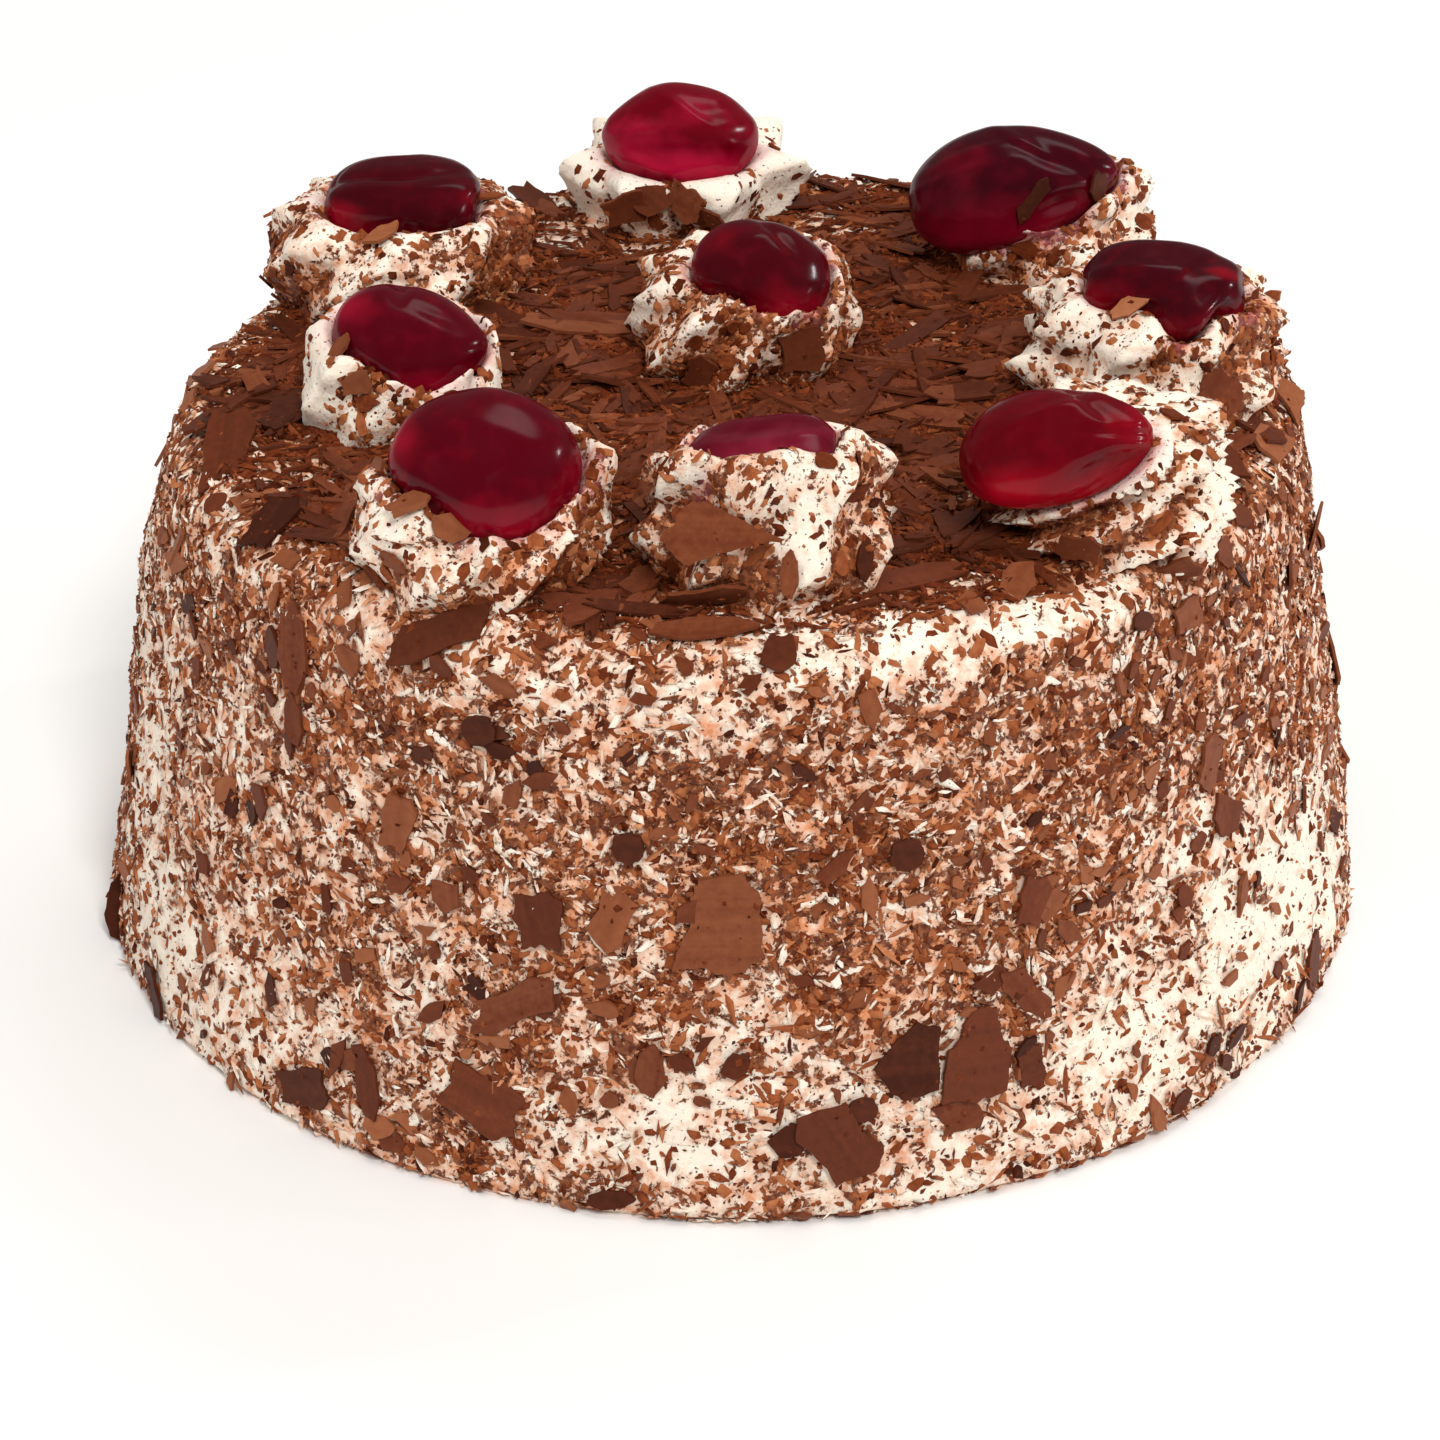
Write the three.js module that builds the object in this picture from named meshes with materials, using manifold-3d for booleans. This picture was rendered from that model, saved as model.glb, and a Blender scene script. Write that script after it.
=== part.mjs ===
// A small black forest cake: a drum of cake under whipped cream, coated in chocolate shavings, with
// eight piped cream rosettes round its rim and one near the middle, each holding a glazed cherry.
// Millimetres, +Z up. The origin is the middle of the flat underside and the front is -Y.
// A bearing is an angle in degrees round the Z axis, 0 at the front and growing towards +X.

import * as THREE from "three";
import { mergeVertices } from "three/addons/utils/BufferGeometryUtils.js";
import Module from "manifold-3d";

const wasm = await Module();
wasm.setup();

const { degToRad, lerp, mapLinear, smoothstep } = THREE.MathUtils;

// ---- driving sizes

const BODY = {
  height: 70,
  baseRadius: 80,
  topRadius: 62, // the flat part of the top
  shoulderOut: 8.5, // how far the rounded shoulder reaches past the flat top
  shoulderDrop: 8,
  footChamfer: 1.2,
  sideLean: degToRad(8.6), // the side leans in by this much
  waviness: 0.7, // unevenness that the palette knife leaves in the cream
  segments: 72,
  sideSteps: 6,
  shoulderSteps: 4,
};

const GAP = 0.3; // clearance between a piece and what it is pressed into
const MERGE = 1e-4; // corners nearer than this are one

// Shavings spread by rule, the largest first. Lengths and widths are in millimetres, tips in degrees.
const SIDE_SHAVINGS = {
  count: 108,
  longest: 10,
  shortest: 4.4,
  slimness: 0.58,
  thickness: 1.1,
  steepestTip: 10,
  seed: 11,
};
const TOP_SHAVINGS = {
  count: 84,
  longest: 14,
  shortest: 6,
  slimness: 0.42,
  thickness: 1.3,
  steepestTip: 16,
  seed: 29,
};
const SHAVING_FOOT = 6; // the lowest side shaving is centred this far up the side
const SHAVING_OVERHANG = 9; // and the highest this far round the shoulder

// Broad shavings that stand out by themselves. climb is measured up the side and over the shoulder,
// and turn is the angle of the long side from the level.
const BROAD_SHAVINGS = [
  { bearing: 0, climb: 37, length: 11, width: 9.5, turn: 70 },
  { bearing: -20, climb: 25, length: 14, width: 6, turn: 40 },
  { bearing: -17, climb: 36, length: 8, width: 5.5, turn: 85 },
  { bearing: -39, climb: 8, length: 10, width: 6.5, turn: 15 },
  { bearing: -21, climb: 13, length: 10.5, width: 9, turn: -20 },
  { bearing: -7, climb: 20, length: 7.5, width: 4, turn: 80 },
  { bearing: 15, climb: 19, length: 10.5, width: 8, turn: 50 },
  { bearing: 21.5, climb: 17.5, length: 11.5, width: 9, turn: 95 },
  { bearing: 9, climb: 10, length: 12, width: 8, turn: 120 },
  { bearing: 26, climb: 24.5, length: 13, width: 6, turn: 125 },
  { bearing: 27, climb: 36.5, length: 6, width: 5.5, turn: 30 },
  { bearing: -44, climb: 56, length: 17, width: 4, turn: 90 },
  { bearing: -69, climb: 66, length: 12, width: 5.5, turn: 80 },
  { bearing: -29, climb: 66, length: 13, width: 4.5, turn: 5 },
  { bearing: -3, climb: 71, length: 13, width: 4, turn: 2 },
  { bearing: 84, climb: 61, length: 12, width: 7, turn: 60 },
  { bearing: 97, climb: 60, length: 11, width: 6, turn: 20 },
];
const BROAD_FORM = { thickness: 1.3, bend: 0.7, tip: 4, seed: 7 };

// Each rosette stands at a bearing and at ring from the cake's axis. Its cherry is placed by shift, off
// the rosette's axis, and lift, above the cake's top. half holds the cherry's half sizes and tilt its
// turns about X and Y. taper narrows its +X end and droop bends both ends down, as shares of its size.
const TOPPINGS = [
  {
    rosette: { bearing: 4.5, ring: 48, radius: 16.2, height: 16 },
    cherry: { shift: [-1, -1], lift: 14, half: [8.6, 7.4, 4.6], tilt: [4, -4], taper: 0, droop: 0 },
    broadShaving: { bearing: -28, level: 0.64, length: 14.5, width: 7.5, turn: -8 },
  },
  {
    rosette: { bearing: 49.5, ring: 57, radius: 15.8, height: 12.5 },
    cherry: { shift: [-7, -7], lift: 12, half: [11.2, 8.6, 6], tilt: [14, -14], taper: 0.34, droop: 0.1 },
  },
  {
    rosette: { bearing: 87, ring: 51, radius: 18.2, height: 13 },
    cherry: { shift: [1.6, -2.5], lift: 13.4, half: [10.2, 7.6, 5.6], tilt: [8, 8], taper: 0, droop: 0.24 },
  },
  {
    rosette: { bearing: 133, ring: 56, radius: 16, height: 12 },
    cherry: { shift: [-4.8, -4], lift: 10.6, half: [13.6, 9.4, 7.2], tilt: [8, -12], taper: 0.2, droop: 0.06 },
  },
  {
    rosette: { bearing: 186.5, ring: 54.5, radius: 17.2, height: 10.5 },
    cherry: { shift: [-0.4, -3], lift: 10.6, half: [10.3, 8.8, 6.6], tilt: [5, 0], taper: 0, droop: 0 },
  },
  {
    rosette: { bearing: 235, ring: 52, radius: 16, height: 12 },
    cherry: { shift: [0.5, -1.5], lift: 11.6, half: [9.8, 7.8, 5], tilt: [6, 3], taper: -0.1, droop: 0.08 },
  },
  {
    rosette: { bearing: 283.5, ring: 41, radius: 12.8, height: 10.6 },
    cherry: { shift: [1.2, -2.6], lift: 10, half: [9.2, 8.2, 5.2], tilt: [22, 10], taper: 0.12, droop: 0 },
  },
  {
    rosette: { bearing: 328, ring: 54.5, radius: 15.6, height: 11 },
    cherry: { shift: [1.4, -1.6], lift: 11.4, half: [11.5, 10.2, 7.2], tilt: [20, 6], taper: 0, droop: 0 },
  },
  {
    rosette: { bearing: 171, ring: 8.1, radius: 16, height: 11.5 },
    cherry: { shift: [2.4, -3.4], lift: 11.6, half: [8.8, 8, 5.6], tilt: [24, 10], taper: 0.06, droop: 0 },
  },
];

const ROSETTE = {
  ridges: 8,
  ridgeSteps: 3,
  ridgeDepth: 0.2,
  ridgeSharpness: 0.6,
  twist: 30, // degrees that a ridge winds round from foot to crown
  // share of the radius and of the height: a broad lower coil, a waist and a narrower upper coil
  profile: [
    [0, -0.34],
    [0.84, -0.34],
    [0.92, 0.04],
    [1, 0.3],
    [0.78, 0.52],
    [0.8, 0.78],
    [0.62, 1],
    [0, 0.96],
  ],
};
const ROSETTE_SHAVINGS = { count: 2, length: 5.5, width: 3.2, thickness: 0.9, bend: 0.4, seed: 53 };
const FLANK_LEAN = degToRad(32); // a rosette's flank leans in by this much

const CHERRY = { around: 12, rings: 7, dimpleDepth: 0.16, dimpleWidth: 0.42 };

// Share of a shaving's length and width at each of its corners.
const SHAVING_OUTLINE = [
  [-0.5, -0.12],
  [-0.12, -0.5],
  [0.46, -0.34],
  [0.5, 0.22],
  [-0.14, 0.5],
];
const CORNER_DRIFT = 0.14; // how far a corner strays from the outline

const MATERIALS = {
  shavedFrosting: new THREE.MeshStandardMaterial({ color: 0xac7c64, roughness: 0.7, metalness: 0 }),
  pipedCream: new THREE.MeshStandardMaterial({ color: 0xf0dfcd, roughness: 0.55, metalness: 0 }),
  glazedCherry: new THREE.MeshStandardMaterial({ color: 0x5c0210, roughness: 0.12, metalness: 0 }),
};

// ---- small tools

// A repeatable run of numbers from 0 to 1.
function makeRandom(seed) {
  let state = seed >>> 0;
  return () => {
    state = (Math.imul(state, 1664525) + 1013904223) >>> 0;
    return state / 4294967296;
  };
}

const fraction = (value) => value - Math.floor(value);

// An even run of places over a unit square, whatever their number.
const evenPlace = (i) => [fraction(0.754878 * i + 0.11), fraction(0.56984 * i + 0.37)];

// A point or a direction at a bearing.
function atBearing(bearing, radius, height) {
  const angle = degToRad(bearing);
  return new THREE.Vector3(radius * Math.sin(angle), -radius * Math.cos(angle), height);
}

// A closed geometry as a solid, once its doubled corners are merged.
function solidFrom(geometry) {
  const bare = geometry.clone();
  bare.deleteAttribute("normal");
  bare.deleteAttribute("uv");
  const merged = mergeVertices(bare, MERGE);
  const corners = [];
  for (let i = 0; i < merged.index.count; i += 3) {
    const [a, b, c] = [0, 1, 2].map((k) => merged.index.getX(i + k));
    if (a !== b && b !== c && c !== a) corners.push(a, b, c);
  }
  return new wasm.Manifold(
    new wasm.Mesh({
      numProp: 3,
      vertProperties: merged.attributes.position.array,
      triVerts: Uint32Array.from(corners),
    }),
  );
}

function geometryFrom(solid) {
  const { vertProperties, triVerts } = solid.getMesh();
  const geometry = new THREE.BufferGeometry();
  geometry.setAttribute("position", new THREE.BufferAttribute(vertProperties, 3));
  geometry.setIndex(new THREE.BufferAttribute(triVerts, 1));
  geometry.computeVertexNormals();
  return geometry;
}

const join = (solids) => solids.reduce((whole, next) => whole.add(next));

// The main body of a solid, without loose scraps or sealed hollows.
function mainBody(solid) {
  return solid.decompose().reduce((most, next) => (next.volume() > most.volume() ? next : most));
}

// A lathed profile of radius and height pairs, stood up along Z.
function turned(profile, segments) {
  const outline = profile.map(([radius, height]) => new THREE.Vector2(radius, height));
  return new THREE.LatheGeometry(outline, segments).rotateX(Math.PI / 2);
}

// Moves every corner of a geometry by a rule that is given it.
function reshape(geometry, rule) {
  const position = geometry.attributes.position;
  const point = new THREE.Vector3();
  for (let i = 0; i < position.count; i++) {
    point.fromBufferAttribute(position, i);
    rule(point);
    position.setXYZ(i, point.x, point.y, point.z);
  }
  return geometry;
}

// ---- the cake's body

const sideTop = {
  radius: BODY.topRadius + BODY.shoulderOut * Math.cos(BODY.sideLean),
  height: BODY.height - BODY.shoulderDrop * (1 - Math.sin(BODY.sideLean)),
};
const sideLength = Math.hypot(BODY.baseRadius - sideTop.radius, sideTop.height);
const shoulderLength = ((BODY.shoulderOut + BODY.shoulderDrop) / 2) * (Math.PI / 2 - BODY.sideLean);

// The place on the body's skin after a climb up the side, round the shoulder and in across the top.
function onBody(bearing, climb) {
  const pastSide = climb - sideLength;
  let radius = BODY.topRadius - (pastSide - shoulderLength);
  let height = BODY.height;
  let lean = Math.PI / 2; // of the skin's normal, up from the level
  if (pastSide < 0) {
    radius = lerp(BODY.baseRadius, sideTop.radius, climb / sideLength);
    height = (sideTop.height * climb) / sideLength;
    lean = BODY.sideLean;
  } else if (pastSide < shoulderLength) {
    lean = mapLinear(pastSide, 0, shoulderLength, BODY.sideLean, Math.PI / 2);
    radius = BODY.topRadius + BODY.shoulderOut * Math.cos(lean);
    height = BODY.height - BODY.shoulderDrop * (1 - Math.sin(lean));
  }
  return {
    point: atBearing(bearing, radius, height),
    normal: atBearing(bearing, Math.cos(lean), Math.sin(lean)),
  };
}

// How far the cream stands out or in round the side, from -1.15 to 1.15.
function wave(angle, height) {
  return (
    0.5 * Math.sin(3 * angle + 0.7) +
    0.35 * Math.sin(5 * angle + height / 14) +
    0.3 * Math.sin(9 * angle - height / 9 + 1.9)
  );
}

// The drum of cake and cream, grown outwards by a clearance.
function bodyGeometry(clearance) {
  const { height, baseRadius, topRadius, footChamfer, waviness, segments, sideSteps, shoulderSteps } = BODY;
  const climbs = [];
  for (let i = 0; i < sideSteps; i++) climbs.push(lerp(footChamfer, sideLength, i / sideSteps));
  for (let i = 0; i <= shoulderSteps; i++) climbs.push(sideLength + (shoulderLength * i) / shoulderSteps);
  const skin = climbs.map((climb) => {
    const { point } = onBody(0, climb);
    return [clearance - point.y, clearance + point.z];
  });
  const foot = [baseRadius - footChamfer + clearance, 0];
  const drum = turned([[0, 0], foot, ...skin, [0, height + clearance]], segments);
  return reshape(drum, (point) => {
    const radius = Math.hypot(point.x, point.y);
    const onSide = smoothstep(radius, topRadius, sideTop.radius);
    const outward = waviness * wave(Math.atan2(point.x, -point.y), point.z) * onSide;
    const growth = radius > 0 ? 1 + outward / radius : 1;
    point.set(growth * point.x, growth * point.y, point.z);
  });
}

// ---- chocolate shavings

// A thin irregular chip with its ends bent up, lying in XY.
function shavingGeometry({ length, width, thickness, bend }, random) {
  const stray = () => CORNER_DRIFT * (random() - 0.5);
  const corners = SHAVING_OUTLINE.map(
    ([along, across]) => new THREE.Vector2(length * (along + stray()), width * (across + stray())),
  );
  const chip = new THREE.ExtrudeGeometry(new THREE.Shape(corners), { depth: thickness, bevelEnabled: false });
  return reshape(chip, (point) => {
    point.z += bend * ((2 * point.x) / length) ** 2 - thickness / 2;
  });
}

// A chip laid on a skin: its long side turned from the level, then tipped up along its length.
function laidShaving(size, { point, normal }, turn, tip, random) {
  const level = new THREE.Vector3(0, 0, 1).cross(normal);
  if (level.length() < MERGE) level.set(1, 0, 0);
  const along = level.normalize().applyAxisAngle(normal, degToRad(turn));
  const across = normal.clone().cross(along);
  const place = new THREE.Matrix4().makeBasis(along, across, normal).setPosition(point);
  place.multiply(new THREE.Matrix4().makeRotationY(degToRad(tip)));
  return solidFrom(shavingGeometry(size, random).applyMatrix4(place));
}

// Whether a chip of a given reach, centred on the top or the shoulder, would touch a rosette.
function meetsRosette(point, reach) {
  return TOPPINGS.some(({ rosette }) => {
    const foot = atBearing(rosette.bearing, rosette.ring, BODY.height);
    const near = Math.hypot(point.x - foot.x, point.y - foot.y) < rosette.radius + reach;
    return near && point.z > BODY.height - BODY.shoulderDrop - reach;
  });
}

// Chips spread evenly over the skin, the largest first. climbAt turns a share into a climb.
function spreadShavings(rule, climbAt) {
  const random = makeRandom(rule.seed);
  const chips = [];
  for (let i = 0; i < rule.count; i++) {
    const length = lerp(rule.longest, rule.shortest, i / rule.count) * lerp(0.85, 1.15, random());
    const width = length * rule.slimness * lerp(0.75, 1.25, random());
    const size = { length, width, thickness: rule.thickness, bend: 0.9 * random() };
    const [round, up] = evenPlace(i);
    const place = onBody(360 * round, climbAt(up));
    const turn = 360 * random();
    const tip = lerp(-rule.steepestTip, rule.steepestTip, random());
    if (!meetsRosette(place.point, length / 2)) chips.push(laidShaving(size, place, turn, tip, random));
  }
  return chips;
}

const rimClimb = sideLength + shoulderLength;
const sideClimb = (up) => lerp(SHAVING_FOOT, sideLength + SHAVING_OVERHANG, up);
const topClimb = (up) => rimClimb + BODY.topRadius * (1 - Math.sqrt(up)); // even over the disc

function broadShavings() {
  const random = makeRandom(BROAD_FORM.seed);
  return BROAD_SHAVINGS.map(({ bearing, climb, length, width, turn }) =>
    laidShaving({ length, width, ...BROAD_FORM }, onBody(bearing, climb), turn, BROAD_FORM.tip, random),
  );
}

function bodySolid() {
  const chips = [
    ...broadShavings(),
    ...spreadShavings(SIDE_SHAVINGS, sideClimb),
    ...spreadShavings(TOP_SHAVINGS, topClimb),
  ];
  return mainBody(join([solidFrom(bodyGeometry(0)), ...chips]).trimByPlane([0, 0, 1], 0));
}

// ---- cherries

// A flattened fruit with a stem dimple, round its own centre and grown outwards by a clearance.
function cherryGeometry({ half, taper, droop }, clearance) {
  const fruit = new THREE.SphereGeometry(1, CHERRY.around, CHERRY.rings).rotateX(Math.PI / 2);
  return reshape(fruit, (point) => {
    const fromStem = Math.hypot(point.x, point.y);
    const dimple = point.z > 0 ? CHERRY.dimpleDepth * Math.exp(-((fromStem / CHERRY.dimpleWidth) ** 2)) : 0;
    const girth = 1 - taper * point.x;
    point.set(
      point.x * (half[0] + clearance),
      point.y * girth * (half[1] + clearance),
      (point.z - dimple) * girth * (half[2] + clearance) - droop * half[0] * point.x ** 2,
    );
  });
}

// ---- piped rosettes

// The mean place on a rosette's flank at a share of its height.
function onRosette({ radius, height }, bearing, level) {
  const { profile, ridgeDepth } = ROSETTE;
  const above = profile.findIndex(([, up]) => up > level);
  const [low, high] = [profile[above - 1], profile[above]];
  const out = mapLinear(level, low[1], high[1], low[0], high[0]) * (1 - ridgeDepth / 2);
  return {
    point: atBearing(bearing, out * radius, level * height),
    normal: atBearing(bearing, Math.cos(FLANK_LEAN), Math.sin(FLANK_LEAN)),
  };
}

// Two coils of cream from a star tip, standing on z = 0: a lathed mound whose ridges wind round it.
function moundGeometry({ bearing, radius, height }) {
  const { ridges, ridgeSteps, ridgeDepth, ridgeSharpness, twist, profile } = ROSETTE;
  const outline = profile.map(([out, up]) => [out * radius, up * height]);
  return reshape(turned(outline, ridges * ridgeSteps), (point) => {
    const angle = Math.atan2(point.x, -point.y);
    const fromCrest = 1 - Math.abs(1 - 2 * fraction((angle * ridges) / (2 * Math.PI)));
    const out = Math.hypot(point.x, point.y) * (1 - ridgeDepth * fromCrest ** ridgeSharpness);
    const turn = degToRad(bearing + (twist * point.z) / height);
    point.set(out * Math.sin(angle + turn), -out * Math.cos(angle + turn), point.z);
  });
}

function rosetteSolid(rosette, broadShaving) {
  const { count, seed } = ROSETTE_SHAVINGS;
  const random = makeRandom(seed + Math.round(rosette.bearing));
  const chips = [];
  for (let i = 0; i < count; i++) {
    const bearing = (360 * (i + 0.5 * random())) / count;
    const place = onRosette(rosette, bearing, lerp(0.2, 0.45, random()));
    chips.push(laidShaving(ROSETTE_SHAVINGS, place, 180 * random(), 0, random));
  }
  if (broadShaving) {
    const place = onRosette(rosette, broadShaving.bearing, broadShaving.level);
    chips.push(laidShaving({ ...BROAD_FORM, ...broadShaving }, place, broadShaving.turn, 0, random));
  }
  return join([solidFrom(moundGeometry(rosette)), ...chips]);
}

// ---- the whole cake

function namedMesh(name, solid, material) {
  const mesh = new THREE.Mesh(geometryFrom(solid), material);
  mesh.name = name;
  return mesh;
}

// A rosette and its cherry, in a group that stands on the cake's top.
function toppingGroup({ rosette, cherry, broadShaving }, number) {
  const group = new THREE.Group();
  group.position.copy(atBearing(rosette.bearing, rosette.ring, BODY.height));

  const fruit = namedMesh(
    `glazed_cherry_${number}`,
    solidFrom(cherryGeometry(cherry, 0)),
    MATERIALS.glazedCherry,
  );
  fruit.position.set(...cherry.shift, cherry.lift);
  fruit.rotation.set(degToRad(cherry.tilt[0]), degToRad(cherry.tilt[1]), 0);
  fruit.updateMatrix();

  const socket = solidFrom(cherryGeometry(cherry, GAP).applyMatrix4(fruit.matrix));
  const { x, y, z } = group.position;
  const seat = solidFrom(bodyGeometry(GAP).translate(-x, -y, -z));
  const cream = mainBody(rosetteSolid(rosette, broadShaving).subtract(seat).subtract(socket));
  group.add(namedMesh(`cream_rosette_${number}`, cream, MATERIALS.pipedCream), fruit);
  return group;
}

const cake = new THREE.Group();
cake.add(namedMesh("cake_body", bodySolid(), MATERIALS.shavedFrosting));
TOPPINGS.forEach((topping, i) => cake.add(toppingGroup(topping, i + 1)));

export default cake;
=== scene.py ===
import math

import bmesh
import bpy
import numpy as np
from mathutils import Matrix, Vector


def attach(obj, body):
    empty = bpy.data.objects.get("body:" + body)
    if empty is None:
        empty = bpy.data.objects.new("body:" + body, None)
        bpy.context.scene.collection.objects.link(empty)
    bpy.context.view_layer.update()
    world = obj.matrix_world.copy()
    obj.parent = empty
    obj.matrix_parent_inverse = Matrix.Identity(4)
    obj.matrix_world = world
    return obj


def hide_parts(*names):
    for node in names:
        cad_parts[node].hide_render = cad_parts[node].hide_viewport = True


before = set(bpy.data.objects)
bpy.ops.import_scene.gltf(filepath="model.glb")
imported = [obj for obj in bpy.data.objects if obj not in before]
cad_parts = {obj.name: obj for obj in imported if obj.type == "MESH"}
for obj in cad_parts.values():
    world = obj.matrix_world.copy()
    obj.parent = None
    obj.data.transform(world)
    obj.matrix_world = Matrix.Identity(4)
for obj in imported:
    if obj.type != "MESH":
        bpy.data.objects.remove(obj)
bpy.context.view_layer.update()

# A small round black forest cake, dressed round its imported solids. Sizes are in millimetres until a mesh
# is made, and a bearing is an angle in degrees round Z, 0 at the front (-Y) and growing towards +X.
mm = 0.001
scene = bpy.context.scene


# helpers

def atBearing(bearing, radius, height):
    angle = np.radians(bearing)
    return np.stack(np.broadcast_arrays(radius * np.sin(angle), -radius * np.cos(angle), height), -1)


def bearingOf(points):
    return np.arctan2(points[:, 0], -points[:, 1])


def unit(vectors):
    return vectors / np.maximum(np.linalg.norm(vectors, axis=-1, keepdims=True), 1e-9)


# Smooth random lumps about one grain wide, from -1 to 1.
def lumps(points, grain, seed):
    lattice = np.random.default_rng(seed).uniform(-1, 1, (32, 32, 32))
    place = np.asarray(points) / grain
    cell = np.floor(place).astype(int)
    part = place - cell
    part = part * part * (3 - 2 * part)
    total = np.zeros(len(place))
    for corner in np.ndindex(2, 2, 2):
        share = np.prod(np.where(corner, part, 1 - part), -1)
        total += share * lattice[tuple(((cell + corner) % 32).T)]
    return total


def paint(red, green, blue):
    # a screen colour, 0 to 255, as the linear colour that a shader wants
    screen = np.array([red, green, blue]) / 255
    linear = np.where(screen < 0.04045, screen / 12.92, ((screen + 0.055) / 1.055) ** 2.4)
    return (*linear.tolist(), 1)


# Fills a node's sockets, each with a value or with another node's output.
def feed(tree, node, sockets):
    for key, value in sockets.items():
        if isinstance(value, bpy.types.NodeSocket):
            tree.links.new(value, node.inputs[key])
        else:
            node.inputs[key].default_value = value


def wire(tree, kind, sockets=None, **settings):
    made = tree.nodes.new("ShaderNode" + kind)
    for key, value in settings.items():
        setattr(made, key, value)
    feed(tree, made, sockets or {})
    return made


def blankMaterial(name):
    material = bpy.data.materials.new(name)
    material.use_nodes = True
    return material, material.node_tree, material.node_tree.nodes["Principled BSDF"]


def blend(tree, amount, first, second):
    return wire(tree, "Mix", {0: amount, 6: first, 7: second}, data_type="RGBA").outputs[2]


def grain(tree, size, detail=2.0, roughness=0.5):
    # noise with lumps of a size in millimetres, on the piece's own place
    place = wire(tree, "TexCoord").outputs["Object"]
    made = wire(tree, "TexNoise", {"Vector": place, "Scale": 1 / (size * mm), "Detail": detail,
                                   "Roughness": roughness})
    return made.outputs["Fac"]


def attribute(tree, name):
    return wire(tree, "Attribute", attribute_name=name).outputs["Fac"]


def rescale(tree, value, low, high, toLow=0.0, toHigh=1.0):
    return wire(tree, "MapRange", {"Value": value, "From Min": low, "From Max": high,
                                   "To Min": toLow, "To Max": toHigh}).outputs["Result"]


def calc(tree, operation, first, second):
    return wire(tree, "Math", {0: first, 1: second}, operation=operation).outputs[0]


def newObject(name, data):
    made = bpy.data.objects.new(name, data)
    scene.collection.objects.link(made)
    return made


def addPiece(name, mesh, material, replaced=None, smooth=False):
    mesh.name = name
    mesh.materials.append(material)
    mesh.polygons.foreach_set("use_smooth", np.full(len(mesh.polygons), smooth))
    piece = newObject(name, mesh)
    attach(piece, "root")
    if replaced:
        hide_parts(replaced)
    return piece


def meshOf(name, form):
    mesh = bpy.data.meshes.new(name)
    form.to_mesh(mesh)
    form.free()
    return mesh


# A closed form spun round Z from an outline of radii and heights.
def spunMesh(name, outline, steps):
    form = bmesh.new()
    corners = [form.verts.new((0, -radius, height)) for radius, height in outline]
    edges = [form.edges.new(pair) for pair in zip(corners, corners[1:])]
    bmesh.ops.spin(form, geom=corners + edges, cent=(0, 0, 0), axis=(0, 0, 1), angle=2 * math.pi,
                   steps=steps, use_merge=True)
    bmesh.ops.remove_doubles(form, verts=form.verts, dist=0.01)
    bmesh.ops.recalc_face_normals(form, faces=form.faces)
    return meshOf(name, form)


def meshPoints(mesh):
    points = np.empty(3 * len(mesh.vertices), np.float32)
    mesh.vertices.foreach_get("co", points)
    return points.reshape(-1, 3).astype(float)


def placePoints(mesh, points):
    mesh.vertices.foreach_set("co", (points * mm).astype(np.float32).ravel())


def setLayer(mesh, name, values):
    mesh.attributes.new(name, "FLOAT", "POINT").data.foreach_set("value", np.asarray(values, np.float32))


# Adds humps to values: middle bearing, middle level, half width in degrees, half height, rise.
def addHumps(values, bearing, level, humps, share=1):
    for middle, up, wide, tall, rise in humps:
        aside = ((bearing - middle + 180) % 360 - 180) / wide
        values = values + share * rise * np.exp(-aside ** 2 - ((level - up) / tall) ** 2)
    return values


# Adds lumps to values: grain, rise, seed.
def addLumps(values, points, rows):
    for size, rise, seed in rows:
        values = values + rise * lumps(points, size, seed)
    return values


# camera, floor and light

studio = {
    "aim": (-1.434, 0, 21.09),
    "elevation": 29.85,
    "distance": 560,
    "lens": 108.86,
    "sensor": 36,
    "view": 1440,  # the front view is a square of so many dots
    "floorSize": 12000,
    "floorColour": (238, 236, 233),
    "worldColour": (1.0, 0.985, 0.965, 1),
    "worldStrength": 0.2,
    # bearing, elevation, distance, width, height, power in watts, whether gloss mirrors it
    "softboxes": {
        "key": (18, 47, 3000, 700, 700, 50, False),
        "left": (-58, 36, 3000, 2000, 2000, 31, False),
        "right": (72, 36, 3000, 2000, 2000, 18, False),
        "overhead": (0, 85, 2600, 1400, 1400, 16, False),
        "rear": (158, 50, 3000, 2000, 1100, 17, False),
        "sheen": (150, 52, 3000, 1500, 800, 6.5, True),
        "lowStrip": (84, 10, 900, 50, 220, 0.9, True),
        "spark": (112, 28, 1000, 60, 60, 1.0, True),
    },
}


# Puts a camera or a lamp out from the aim, turned to look at it.
def lookIn(name, data, aim, out, distance):
    made = newObject(name, data)
    made.location = aim + out * distance * mm
    made.rotation_euler = out.to_track_quat("Z", "Y").to_euler()
    return made


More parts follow.
